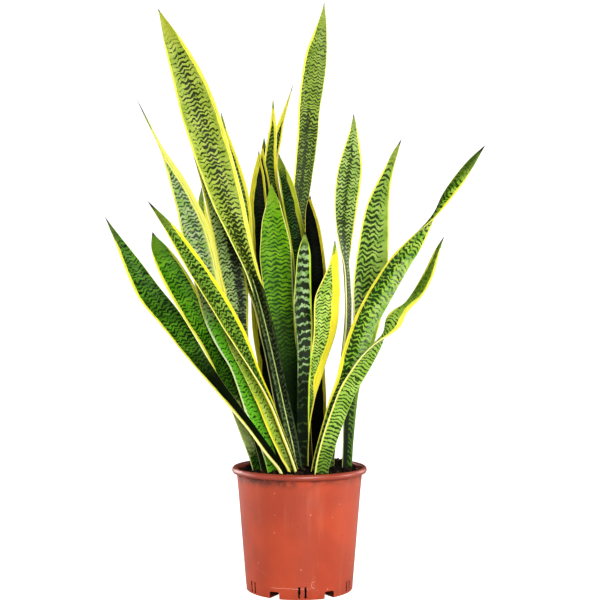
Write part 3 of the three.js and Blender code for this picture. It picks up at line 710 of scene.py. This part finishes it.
def spine_of(node_name):
    """A line of points from foot to tip that carries the blade's shape, as a mesh with attributes."""
    sections = cross_sections(node_name)
    places = np.linspace(0, len(sections[0]) - 1, SPINE_SAMPLES)
    steps = np.linalg.norm(np.diff(eased(sections[0], places), axis=0), axis=1)
    run = np.concatenate([[0], np.cumsum(steps)])
    even = np.interp(np.linspace(0, run[-1], BLADE_RINGS), run, places)
    line, sides, folds, swells, widths = (smoothed(eased(v, even), SPINE_SMOOTHING) for v in sections)
    widths = np.maximum(widths[:, 0], 0)
    widths[-1] = 0
    forward = np.gradient(line, axis=0)
    forward /= np.linalg.norm(forward, axis=1, keepdims=True)
    sides -= (sides * forward).sum(axis=1, keepdims=True) * forward
    sides /= np.linalg.norm(sides, axis=1, keepdims=True)
    faces = np.cross(sides, forward)
    swell = np.minimum(swells[:, 0], THICKEST_SHARE * widths)
    swell[-1] = 0
    mesh = bpy.data.meshes.new(node_name + "_spine")
    mesh.from_pydata([tuple(p) for p in line], [], [])
    for name, kind, field, values in (
        ("side", "FLOAT_VECTOR", "vector", sides),
        ("face", "FLOAT_VECTOR", "vector", faces),
        ("half", "FLOAT", "value", widths / 2),
        ("fold", "FLOAT", "value", -(folds * faces).sum(axis=1)),
        ("swell", "FLOAT", "value", swell),
        ("run", "FLOAT", "value", np.linspace(0, run[-1], BLADE_RINGS)),
    ):
        made = mesh.attributes.new(name, kind, "POINT")
        made.data.foreach_set(field, values.astype(np.float32).ravel())
    return mesh


def then(shape, kind, **inputs):
    """A shape after one more geometry node."""
    return node(shape.tree, f"GeometryNode{kind}", {"Geometry": shape, **inputs})


@node_group("Geometry", "grow blade", {
    "Spine": "Geometry", "Rings": BLADE_RINGS, "Around": BLADE_AROUND, "Edge roundness": 0.62,
    "Wave height": 0.0012, "Wave length": 0.07, "Length": 0.5, "Seed": 0.0, "Skin": "Material",
}, "Blade")
def grow_blade(tree, spine, rings, around, roundness, wave_height, wave_length, length, seed, skin):
    """Sweeps a lens-shaped section along the spine, with gently waved margins."""

    def stored(shape, name, value, kind="FLOAT"):
        inputs = {"Geometry": shape, "Name": name, "Value": value}
        return node(tree, "GeometryNodeStoreNamedAttribute", inputs, data_type=kind, domain="POINT")

    def named(name, kind="FLOAT"):
        return node(tree, "GeometryNodeInputNamedAttribute", {"Name": name}, data_type=kind)

    def at_ring(value, kind="FLOAT_VECTOR"):
        inputs = {"Geometry": spine, "Value": value, "Index": named("ring")}
        return node(tree, "GeometryNodeSampleIndex", inputs, data_type=kind, domain="POINT")

    steps = rings - 1.0
    tube = node(tree, "GeometryNodeMeshCylinder", {
        "Vertices": around, "Side Segments": steps, "Radius": 1.0, "Depth": 1.0,
    }, fill_type="TRIANGLE_FAN")
    position = node(tree, "GeometryNodeInputPosition")
    x, y, z = split(position)
    shape = stored(stored(tube, "share", x), "rise", y)
    shape = stored(shape, "ring", number("ROUND", (0.5 - z) * steps))
    half, fold, swell, run = (at_ring(named(name), "FLOAT") for name in ("half", "fold", "swell", "run"))
    share, rise = named("share"), named("rise")
    across = share * half
    square = share * share
    lift = number("SIGN", rise) * abs(rise) ** roundness * (swell * 0.5)
    seeded = times_plus(number("SIGN", share), 3.1, seed * 7.9)
    swing = grain(vector(run / wave_length, seeded, 0.0), 1.0, 1.0) - 0.5
    left = length - run
    calm = number("MINIMUM", run * 6.0, left * 8.0, clamp=True)
    out = lift - fold * (1.0 - square) + swing * (square * calm) * (wave_height * 4.0)
    sideways = scaled(at_ring(named("side", "FLOAT_VECTOR")), across)
    outwards = scaled(at_ring(named("face", "FLOAT_VECTOR")), out)
    shape = stored(shape, "blade", vector(across, run, half), "FLOAT_VECTOR")
    shape = stored(shape, "blade_end", vector(left, share, rise), "FLOAT_VECTOR")
    shape = then(shape, "SetPosition", Position=added(added(at_ring(position), sideways), outwards))
    shape = then(shape, "MergeByDistance", Distance=1e-6)
    for name in ("share", "rise", "ring"):
        shape = then(shape, "RemoveAttribute", Name=name)
    shape = then(then(shape, "SetShadeSmooth"), "RealizeInstances")
    return then(shape, "SetMaterial", Material=skin)


def link(name, data):
    """A new object of a mesh, light or camera."""
    made = bpy.data.objects.new(name, data)
    bpy.context.scene.collection.objects.link(made)
    return made


def grown(name, mesh, tree, inputs):
    """The plain mesh that a geometry nodes tree makes of a mesh, as a new object."""
    source = link(name + "_source", mesh)
    modifier = source.modifiers.new("grow", "NODES")
    modifier.node_group = tree
    sockets = {s.name: s.identifier for s in tree.interface.items_tree if s.in_out == "INPUT"}
    for key, value in inputs.items():
        modifier[sockets[key]] = value
    graph = bpy.context.evaluated_depsgraph_get()
    made = bpy.data.meshes.new_from_object(source.evaluated_get(graph), depsgraph=graph)
    source.modifiers.remove(modifier)
    bpy.data.objects.remove(source)
    bpy.data.meshes.remove(mesh)
    made.name = name
    return link(name, made)


def finished(piece, slot, *nodes):
    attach(piece, "root")
    if nodes:
        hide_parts(*nodes)


SLOTS = {part["node"]: part["material_slot"] for part in frame["record"]["subparts"]}


def make_leaves():
    for seed, name in enumerate(LOOKS):
        spine = spine_of(name)
        length = spine.attributes["run"].data[BLADE_RINGS - 1].value
        inputs = {"Length": length, "Seed": float(seed), "Skin": leaf_material(name, float(seed), length)}
        blade = grown(name.replace("leaf_", "blade_"), spine, grow_blade, inputs)
        finished(blade, SLOTS[name], name)


# Pot


def kept(shape, name):
    """A new object of a mesh in the making, with its faces turned outwards."""
    bmesh.ops.recalc_face_normals(shape, faces=shape.faces)
    mesh = bpy.data.meshes.new(name)
    shape.to_mesh(mesh)
    shape.free()
    return link(name, mesh)


def ring(shape, radius, height, sides):
    """A ring of points round the Z axis. The height is a function of x and y. Millimetres."""
    angles = [2 * math.pi * k / sides for k in range(sides)]
    places = [(radius * math.sin(a), -radius * math.cos(a)) for a in angles]
    return [shape.verts.new((x * MM, y * MM, height(x, y) * MM)) for x, y in places]


def stitch(shape, rings):
    """Faces between each ring of points and the next. A ring may be a single point."""
    count = max(len(points) for points in rings)
    for pair in zip(rings, rings[1:]):
        for k in range(count):
            (a, b), (d, c) = ([points[n % len(points)] for n in (k, k + 1)] for points in pair)
            shape.faces.new(list(dict.fromkeys((a, b, c, d))))


def turned_solid(name, outline):
    """A closed solid turned round the Z axis. The outline starts and ends on the axis."""
    shape = bmesh.new()
    stitch(shape, [ring(shape, r, lambda x, y: z, POT_SIDES if r else 1) for r, z in outline])
    return kept(shape, name)


def pushed(name, section, begin, end, angle):
    """A block of a section that runs outwards from one radius to another, at an angle from the front."""
    sine, cosine = math.sin(math.radians(angle)), math.cos(math.radians(angle))

    def point(x, run, z):
        return shape.verts.new(((x * cosine + run * sine) * MM, (x * sine - run * cosine) * MM, z * MM))

    shape = bmesh.new()
    loops = [[point(x, run, z) for x, z in section] for run in (begin, end)]
    stitch(shape, loops)
    for loop in loops:
        shape.faces.new(loop)
    return kept(shape, name)


def tunnel(name, width, top, bottom, begin, end, angle):
    """A block with rounded top edges."""
    half, corner = width / 2, CHANNEL_CORNER
    arc = [(half - corner + corner * math.cos(a), top - corner + corner * math.sin(a))
           for a in np.linspace(0, math.pi / 2, 6)]
    section = [(half, bottom), *arc, *[(-x, z) for x, z in reversed(arc)], (-half, bottom)]
    return pushed(name, section, begin, end, angle)


def torn_slot(angle, seed):
    """A narrow upright slot with the ragged edges of thin moulding flash."""
    heights = np.linspace(SLOT_BOTTOM, SLOT_TOP, SLOT_STEPS)
    draws = np.random.default_rng(seed)
    right = [(SLOT_WIDTH / 2 + draws.uniform(*SLOT_TEAR), z) for z in heights]
    left = [(-SLOT_WIDTH / 2 - draws.uniform(*SLOT_TEAR), z) for z in heights[::-1]]
    return pushed("slot", right + left, FOOT_RADIUS - SLOT_REACH, FOOT_RADIUS + SLOT_REACH, angle)


def drain(angle):
    """A round hole in the roof of a drainage channel."""
    turn = math.radians(angle)
    place = (DRAIN_PLACE * MM * math.sin(turn), -DRAIN_PLACE * MM * math.cos(turn), CHANNEL_HEIGHT * MM)
    radius = DRAIN_RADIUS * MM
    shape = bmesh.new()
    bmesh.ops.create_cone(shape, cap_ends=True, segments=32, radius1=radius, radius2=radius, depth=12 * MM)
    bmesh.ops.translate(shape, verts=shape.verts, vec=place)
    return kept(shape, "drain")


def joined(pieces, name):
    """Several loose solids as one mesh object."""
    shape = bmesh.new()
    for piece in pieces:
        shape.from_mesh(piece.data)
        bpy.data.objects.remove(piece)
    return kept(shape, name)


def cut(body, tools, operation="DIFFERENCE"):
    """Cuts tools out of a body, or joins them to it."""
    modifier = body.modifiers.new("cut", "BOOLEAN")
    modifier.object = tool = joined(tools, "tools")
    modifier.operation = operation
    modifier.solver = "EXACT"
    graph = bpy.context.evaluated_depsgraph_get()
    mesh = bpy.data.meshes.new_from_object(body.evaluated_get(graph), depsgraph=graph)
    body.modifiers.remove(modifier)
    old = body.data
    body.data = mesh
    bpy.data.meshes.remove(old)
    bpy.data.objects.remove(tool)


def outer_radius(z):
    """Radius of the pot's wall at a height."""
    return np.interp(z, (0, SHOULDER_HEIGHT, NECK_HEIGHT), (FOOT_RADIUS, SHOULDER_RADIUS, NECK_RADIUS))


def eased_outline(points):
    """A rounder outline through the given points."""
    last = len(points) - 1
    return eased(np.array(points, float), np.linspace(0, last, last * OUTLINE_STEPS + 1))


def pot_outline():
    """Radius and height of the points round the pot's section, from the middle of its foot to its floor."""
    rim = eased_outline([
        (NECK_RADIUS, NECK_HEIGHT), (NECK_RADIUS + 0.5, 178.0), (NECK_RADIUS + 2.2, 180.2),
        (RIM_RADIUS - 2.6, 180.8), (RIM_RADIUS - 0.8, 181.9), (RIM_RADIUS - 0.05, 184.4),
        (RIM_RADIUS - 0.35, 187.0), (RIM_RADIUS - 1.9, 189.2), (RIM_RADIUS - 4.4, POT_HEIGHT),
    ])
    lip = eased_outline([
        (RIM_RADIUS - 6.6, 189.2), (NECK_RADIUS - 0.4, 187.0), (NECK_RADIUS - 1.2, 182.0),
        (NECK_RADIUS - WALL, NECK_HEIGHT),
    ])
    return [
        (0, 0), (FOOT_RADIUS - 1.2, 0), (FOOT_RADIUS - 0.4, 0.35),
        *[(outer_radius(z), z) for z in (1.3, 20, 60, 105, SHOULDER_HEIGHT - 1.5)],
        (SHOULDER_RADIUS + 0.12, SHOULDER_HEIGHT + 1.5), *rim, *lip,
        (SHOULDER_RADIUS - WALL, SHOULDER_HEIGHT), (outer_radius(FLOOR + 3) - WALL, FLOOR + 3),
        (outer_radius(FLOOR) - WALL - 3, FLOOR), (0, FLOOR),
    ]


def make_pot():
    pot = turned_solid("nursery_pot", pot_outline())
    roof = (CHANNEL_WIDTH + 2 * WALL, CHANNEL_HEIGHT + WALL, 0.3, CHANNEL_START - WALL, FOOT_RADIUS - 0.4)
    hollow = (CHANNEL_WIDTH, CHANNEL_HEIGHT, -2, CHANNEL_START, FOOT_RADIUS + 8)
    cut(pot, [tunnel("roof", *roof, angle) for angle in CHANNEL_ANGLES], "UNION")
    cut(pot, [tunnel("hollow", *hollow, angle) for angle in CHANNEL_ANGLES])
    cut(pot, [drain(angle) for angle in CHANNEL_ANGLES])
    cut(pot, [torn_slot(angle, seed) for seed, angle in enumerate(SLOT_ANGLES)])
    shape = bmesh.new()
    shape.from_mesh(pot.data)
    bmesh.ops.remove_doubles(shape, verts=shape.verts, dist=WELD)
    for face in shape.faces:
        face.smooth = True
    for edge in shape.edges:
        edge.smooth = edge.is_manifold and edge.calc_face_angle(0) < math.radians(SHARP_ANGLE)
    shape.to_mesh(pot.data)
    shape.free()
    painted(pot, pot_material())
    finished(pot, "pot_plastic", "pot")


def painted(piece, material):
    piece.data.materials.clear()
    piece.data.materials.append(material)


# Places in the pot's finish, metres
RIM_COLOUR_STARTS = (0.1795, 0.182)
SOIL_AND_SHADE_FROM = (0.164, 0.178)
SOIL_AND_SHADE_TO = (0.183, 0.1805)
WALL_SLOPE = 0.0822
CHANNEL_DEPTH = (0.0003, 0.0008)
SCRATCH_HEIGHT = 0.0175
SCRATCH_SPAN = (-0.04, 0.016)
SCRATCH_WIDTH = (0.0006, 0.0001)
CURL_PLACE = (0.0225, 0.023)
CURL_RADIUS = 0.005


def pot_material():
    """Terracotta-coloured plastic with a browner rim, soil smudges and painted shade under the rim, painted
    shade in the slots and channels, and fine scratches.
    """
    material, tree, shader = new_material("terracotta_plastic", 0.6)
    place = object_place(tree)
    x, y, z = split(place)
    cloud = grain(place, 14.0, 3.0, 0.55)
    paint = mix(soft_step(cloud, 0.35, 0.68), "bc4e2e", "ac462b")
    rubbed = soft_step(grain(vector(x * 60.0, y * 60.0, z * 5.0), 1.0, 3.0, 0.6), 0.52, 0.78)
    paint = mix(rubbed * 0.14, paint, "d3927c")
    paint = mix(soft_step(z, *RIM_COLOUR_STARTS) * 0.85, paint, "984230")
    # Soil smudges and painted shade under the rim, blotchy, mostly at the left of the front
    under = soft_step(z, *SOIL_AND_SHADE_FROM) * soft_step(z, *SOIL_AND_SHADE_TO)
    blot = soft_step(grain(place, 30.0, 4.0, 0.7), 0.38, 0.56)
    soil_and_shade = under * blot * times_plus(soft_step(x, 0.05, -0.04), 0.4, 0.5)
    paint = mix(soil_and_shade, paint, "5a2a1c")
    low = soft_step(z, 0.03, 0.0) * soft_step(grain(place, 40.0, 3.0, 0.6), 0.45, 0.7)
    paint = mix(low * 0.35, paint, "8c4a35")
    # Painted shade: dark brown inside the slots and drainage channels
    depth = times_plus(z, WALL_SLOPE, FOOT_RADIUS * MM) - (x * x + y * y) ** 0.5
    heights = soft_step(z, 0.024, 0.0215) * soft_step(z, 0.0009, 0.0018)
    paint = mix(soft_step(depth, *CHANNEL_DEPTH) * heights * 0.85, paint, "2c130c")
    for size, amount, seed, code in ((0.9, 0.008, 3.0, "efc9b8"), (1.3, 0.006, 8.0, "6b2c1c")):
        paint = mix(placed(tree, specks, size, amount, seed) * 0.6, paint, code)
    # Fine pale scratches: one long one low on the front, a curl beside it and a few more around the foot
    shake = grain(place, 90.0, 3.0, 0.6) - 0.5
    level = abs(times_plus(shake, 0.006, z - SCRATCH_HEIGHT))
    long = soft_step(level, *SCRATCH_WIDTH) * within(x, *SCRATCH_SPAN, 0.006)
    aside, above = x - CURL_PLACE[0], z - CURL_PLACE[1]
    away = abs(times_plus(shake, 0.004, (aside * aside + above * above) ** 0.5 - CURL_RADIUS))
    curl = soft_step(away, *SCRATCH_WIDTH) * soft_step(aside, 0.003, -0.002)
    bent = added(place, grain(place, 22.0, 1.0, out="Color"))
    inputs = {"Vector": bent, "Scale": 9.0}
    cracks = node(tree, "ShaderNodeTexVoronoi", inputs, out="Distance", feature="DISTANCE_TO_EDGE")
    some = soft_step(grain(place, 32.0), 0.56, 0.66)
    around = soft_step(cracks, 0.006, 0.001) * some * soft_step(z, 0.08, 0.03)
    drawn = number("MAXIMUM", long, curl) * soft_step(y, 0.0, -0.02)
    scratch = number("MAXIMUM", around * 0.7, drawn)
    paint = mix(scratch * 0.7, paint, "ecb29c")
    height = times_plus(scratch, -1.5, grain(place, 900.0, 2.0, 0.6) * 0.5)
    dress(shader, paint, times_plus(cloud, 0.16, 0.28) + soil_and_shade * 0.3, height, 0.0001, 0.6)
    return material


# Soil


def soil_height(x, y):
    """Height of the soil in millimetres: heaped round the leaves and against the back right of the rim."""
    waves = 0.9 * math.sin(0.21 * x + 1.3) * math.sin(0.17 * y + 0.4)
    return SOIL_LEVEL + waves + sum(
        rise * math.exp(-((x - aside) ** 2 + (y - back) ** 2) / spread**2)
        for aside, back, rise, spread in SOIL_HEAPS
    )


def lumpy_height(x, y):
    lumps = noise.fractal(Vector((x, y, 3.0)) * LUMPS_PER_MM, 0.7, 2.1, 4)
    return soil_height(x, y) + lumps * LUMP_HEIGHT


def make_soil(material):
    shape = bmesh.new()
    radii = [SOIL_EDGE * i / SOIL_RINGS for i in range(1, SOIL_RINGS + 1)]
    top = [ring(shape, radius, lumpy_height, SOIL_SIDES) for radius in radii]
    middle = ring(shape, 0, soil_height, 1)
    walls = [
        (NECK_RADIUS, NECK_HEIGHT), (SHOULDER_RADIUS, SHOULDER_HEIGHT),
        (outer_radius(FLOOR + 3), CHANNEL_HEIGHT + 2.2),
    ]
    sides = [ring(shape, r - WALL - SOIL_GAP, lambda x, y: z, SOIL_SIDES) for r, z in walls]
    stitch(shape, [middle, *top, *sides])
    shape.faces.new(sides[-1][::-1])
    for face in shape.faces:
        face.smooth = True
    bed = kept(shape, "soil_bed")
    painted(bed, material)
    finished(bed, "potting_soil", "potting_soil")


# Scales of the noise that pushes crumbs and roots about, and a whole turn
CRUMB_NOISE = 420.0
ROOT_NOISE = 160.0
WHOLE_TURN = 6.28


def shaken(shape, scale, amount):
    """A shape whose points noise pushes about."""
    push = grain(node(shape.tree, "GeometryNodeInputPosition"), scale, 1.0, out="Color")
    centred = node(shape.tree, "ShaderNodeVectorMath", {0: push, 1: (0.5, 0.5, 0.5)}, operation="SUBTRACT")
    return then(shape, "SetPosition", Offset=scaled(centred, amount))


@node_group("Geometry", "strew crumbs", {
    "Ground": "Geometry", "Per square metre": 100000.0, "Smallest": 0.0008, "Largest": 0.002, "Flatness": 0.7,
    "Lumpiness": 0.8, "Fineness": 1, "Seed": 1, "Finish": "Material",
}, "Crumbs")
def strew_crumbs(tree, ground, density, smallest, largest, flatness, lumpiness, fineness, seed, finish):
    """Strews lumpy crumbs over a surface."""
    inputs = {"Mesh": ground, "Density": density, "Seed": seed}
    points = node(tree, "GeometryNodeDistributePointsOnFaces", inputs, distribute_method="RANDOM")
    ball = node(tree, "GeometryNodeMeshIcoSphere", {"Radius": 1.0, "Subdivisions": fineness})
    inputs = {2: smallest, 3: largest, "Seed": seed + 5.0}
    size = node(tree, "FunctionNodeRandomValue", inputs, out=1, data_type="FLOAT")
    inputs = {0: (0.0, 0.0, 0.0), 1: (WHOLE_TURN,) * 3, "Seed": seed + 9.0}
    turn = node(tree, "FunctionNodeRandomValue", inputs, data_type="FLOAT_VECTOR")
    scale = scaled(vector(1.0, 1.0, flatness), size)
    inputs = {"Points": points, "Instance": ball, "Rotation": turn, "Scale": scale}
    crumbs = then(node(tree, "GeometryNodeInstanceOnPoints", inputs), "RealizeInstances")
    return then(shaken(crumbs, CRUMB_NOISE, largest * lumpiness), "SetMaterial", Material=finish)


@node_group("Geometry", "thread roots", {
    "Threads": "Geometry", "Thickness": 0.0012, "Step": 0.0012, "Waviness": 0.0012, "Sides": 7,
    "Finish": "Material",
}, "Roots")
def thread_roots(tree, threads, thickness, step, waviness, sides, finish):
    """Turns strings of points into thin tapered roots with closed ends."""
    lines = node(tree, "GeometryNodeMeshToCurve", {"Mesh": threads})
    lines = node(tree, "GeometryNodeResampleCurve", {"Curve": lines, "Length": step}, mode="LENGTH")
    lines = shaken(lines, ROOT_NOISE, waviness * 2.0)
    share = node(tree, "GeometryNodeSplineParameter", out="Factor")
    girth = times_plus(1.0 - abs(times_plus(share, 2.0, -1.0)) ** 3.0, 0.75, 0.25)
    circle = node(tree, "GeometryNodeCurvePrimitiveCircle", {"Resolution": sides, "Radius": thickness * 0.5})
    inputs = {"Curve": lines, "Profile Curve": circle, "Scale": girth, "Fill Caps": True}
    roots = then(node(tree, "GeometryNodeCurveToMesh", inputs), "RealizeInstances")
    return then(roots, "SetMaterial", Material=finish)


def soil_patch(inner, outer, lift, first=0.0, turn=360.0):
    """A ring or sector of the soil's top surface, from one radius to another, to strew things on."""
    verts, faces = [], []
    for i in range(PATCH_ROWS + 1):
        r = inner + (outer - inner) * i / PATCH_ROWS
        for k in range(PATCH_STEPS + 1):
            a = math.radians(first + turn * k / PATCH_STEPS)
            x, y = r * math.sin(a), -r * math.cos(a)
            verts.append((x * MM, y * MM, (soil_height(x, y) + lift) * MM))
    for i in range(PATCH_ROWS):
        for k in range(PATCH_STEPS):
            a = i * (PATCH_STEPS + 1) + k
            faces.append((a, a + PATCH_STEPS + 1, a + PATCH_STEPS + 2, a + 1))
    mesh = bpy.data.meshes.new("patch")
    mesh.from_pydata(verts, [], faces)
    return mesh


def soil_material():
    material, tree, shader = new_material("dark_peat", 0.2)
    place = object_place(tree)
    rough = grain(place, 420.0, 4.0, 0.7)
    paint = mix(soft_step(rough, 0.35, 0.7), "0d0907", "281c14")
    paint = mix(soft_step(grain(place, 60.0, 3.0, 0.6), 0.45, 0.75) * 0.5, paint, "1a120d")
    paint = mix(soft_step(placed(tree, specks, 0.9, 0.03, 1.0), 0.0, 1.0) * 0.6, paint, "6a4c33")
    dress(shader, paint, 0.95, rough, 0.001)
    return material


def bits_material(name, roughness, tones, first, second, bumps, distance):
    """Bark, grit or roots of two tones. tones and bumps are scales, and tones has its lower bound too."""
    material, tree, shader = new_material(name, 0.3)
    place = object_place(tree)
    paint = mix(soft_step(grain(place, tones[0], 3.0, 0.7), tones[1], 0.7), first, second)
    dress(shader, paint, roughness, grain(place, bumps, 3.0, 0.7), distance)
    return material


# Bits of pale root that lie on the soil: x and y in millimetres and how far each point is above the soil
ROOT_BITS = [
    [(60, 47, 1.5), (66, 45, 3.4), (74, 42, 3.0), (81, 40, 1.2)],
    [(70, 31, 0.8), (73, 27, 2.4), (77, 25, 1.6)],
    [(73, 27, 2.2), (70, 22, 1.8), (66, 19, 0.6)],
    [(88, 16, 0.8), (91, 12, 1.8), (92, 6, 1.0)],
    [(-60, 10, 0.6), (-56, 6, 2.2), (-53, 0, 1.4)],
    [(-56, 6, 2.0), (-52, 8, 1.2), (-48, 7, 0.5)],
    [(-20, -62, 0.8), (-14, -64, 1.6), (-8, -62, 0.8)],
    [(30, -58, 0.8), (36, -55, 1.8), (40, -50, 0.9)],
]
ROOT_THICKNESS = 0.0015


def make_crumbs(peat, bark, pale):
    layers = [
        ("peat_crumbs", soil_patch(2, 94.2, 0.3), 110000.0, 0.0007, 0.0019, 0.75, 1, 11, peat),
        ("peat_lumps", soil_patch(2, 92.0, 0.6), 14000.0, 0.0016, 0.0036, 0.65, 2, 21, peat),
        ("bark_chips", soil_patch(4, 91.0, 0.9), 5200.0, 0.002, 0.0048, 0.35, 2, 31, bark),
        ("pale_grit", soil_patch(4, 93.0, 0.9), 2600.0, 0.0005, 0.0012, 0.8, 1, 41, pale),
        ("rim_crumbs", soil_patch(88, 94.5, 1.8, 195.0, 75.0), 90000.0, 0.001, 0.0028, 0.8, 1, 51, peat),
    ]
    labels = ("Per square metre", "Smallest", "Largest", "Flatness", "Fineness", "Seed", "Finish")
    for name, patch, *values in layers:
        finished(grown(name, patch, strew_crumbs, dict(zip(labels, values))), "potting_soil")


def make_roots(pale):
    points, edges = [], []
    for bit in ROOT_BITS:
        first = len(points)
        points += [(x * MM, y * MM, (soil_height(x, y) + above) * MM) for x, y, above in bit]
        edges += [(first + k, first + k + 1) for k in range(len(bit) - 1)]
    mesh = bpy.data.meshes.new("threads")
    mesh.from_pydata(points, edges, [])
    inputs = {"Thickness": ROOT_THICKNESS, "Finish": pale}
    finished(grown("root_bits", mesh, thread_roots, inputs), "potting_soil")


def dress_rhizomes():
    """Ochre skin with faint rings for the rhizomes, which keep their own shapes."""
    material, tree, shader = new_material("rhizome_bark", 0.4)
    place = object_place(tree)
    rings = node(tree, "ShaderNodeTexWave", {"Vector": place, "Scale": 40.0, "Distortion": 3.0}, out=1)
    paint = mix(soft_step(grain(place, 60.0, 3.0), 0.3, 0.7), "c98a3e", "a8702f")
    paint = mix(soft_step(rings, 0.75, 1.0) * 0.5, paint, "7a4c22")
    dress(shader, paint, 0.7, rings, 0.0006)
    for name, piece in frame["nodes"].items():
        if name.startswith("rhizome_"):
            painted(piece, material)


# Stage


def make_floor():
    mesh = bpy.data.meshes.new("studio_floor")
    corners = [(FLOOR_REACH * x, FLOOR_REACH * y, 0) for x, y in ((-1, -1), (1, -1), (1, 1), (-1, 1))]
    mesh.from_pydata(corners, [], [(0, 1, 2, 3)])
    floor = link("studio_floor", mesh)
    material, tree, shader = new_material("pale_floor", 0.0)
    ray = node(tree, "ShaderNodeLightPath", out="Is Camera Ray")
    feed(shader, {
        "Roughness": 1.0, "Base Color": (0.6, 0.6, 0.6, 1), "Emission Color": (1, 1, 1, 1),
        "Emission Strength": ray * FLOOR_GLOW,
    })
    mesh.materials.append(material)


def hang_lamp(name, kind, turn, place, **settings):
    data = bpy.data.lights.new(name, kind)
    for key, value in settings.items():
        setattr(data, key, value)
    lamp = link(name, data)
    lamp.location = place
    lamp.rotation_euler = turn.to_euler()


def make_studio():
    make_floor()
    # The sun is a wide soft light, so that the far floor is as bright as the near
    place, power, spread = SUN
    turn = Vector(place).to_track_quat("Z", "Y")
    hang_lamp("wide_soft_light", "SUN", turn, (0, 0, 0), energy=power, angle=math.radians(spread))
    for name, place, target, wide, high, power in (
        ("key_right", (1.3, -2.2, 1.7), PLANT_MIDDLE, 1.0, 1.6, 24),
        ("fill_left", (-2.0, -1.8, 1.0), PLANT_MIDDLE, 1.2, 1.8, 8),
        ("side_left", (-2.2, 0.1, 0.3), POT_MIDDLE, 0.8, 1.2, 18),
        ("side_right", (2.2, -0.2, 0.3), POT_MIDDLE, 0.8, 1.2, 24),
        ("rim_left", (-1.9, 1.5, 0.5), PLANT_MIDDLE, 1.0, 1.8, 42),
        ("rim_right", (1.9, 1.5, 0.5), PLANT_MIDDLE, 0.8, 1.8, 16),
    ):
        turn = (Vector(target) - Vector(place)).to_track_quat("-Z", "Y")
        hang_lamp(name, "AREA", turn, place, shape="RECTANGLE", size=wide, size_y=high, energy=power)
    world = bpy.data.worlds.new("studio")
    world.use_nodes = True
    bpy.context.scene.world = world
    ray = node(world.node_tree, "ShaderNodeLightPath", out="Is Camera Ray")
    feed(world.node_tree.nodes["Background"], {
        "Color": (1, 1, 1, 1), "Strength": times_plus(ray, BACKDROP_GLOW - SKY_GLOW, SKY_GLOW),
    })
    bpy.context.scene.view_settings.view_transform = "Standard"
    bpy.context.scene.view_settings.look = "Medium High Contrast"


def make_camera():
    data = bpy.data.cameras.new("camera")
    data.sensor_width = SENSOR_WIDTH
    data.lens = FOCAL_PIXELS / PICTURE_PIXELS * SENSOR_WIDTH
    camera = link("camera", data)
    camera.location = (CAMERA_ASIDE, -CAMERA_DISTANCE, CAMERA_HEIGHT)
    camera.rotation_euler = (math.pi / 2, 0, 0)
    bpy.context.scene.camera = camera


make_camera()
make_studio()
make_leaves()
make_pot()
peat = soil_material()
make_soil(peat)
bark = bits_material("bark_chip", 0.85, (160.0, 0.3), "1c120c", "4a3223", 700.0, 0.0008)
pale = bits_material("pale_root_and_grit", 0.8, (220.0, 0.35), "c9b79c", "8f7a5a", 220.0, 0.0005)
make_crumbs(peat, bark, pale)
make_roots(pale)
dress_rhizomes()
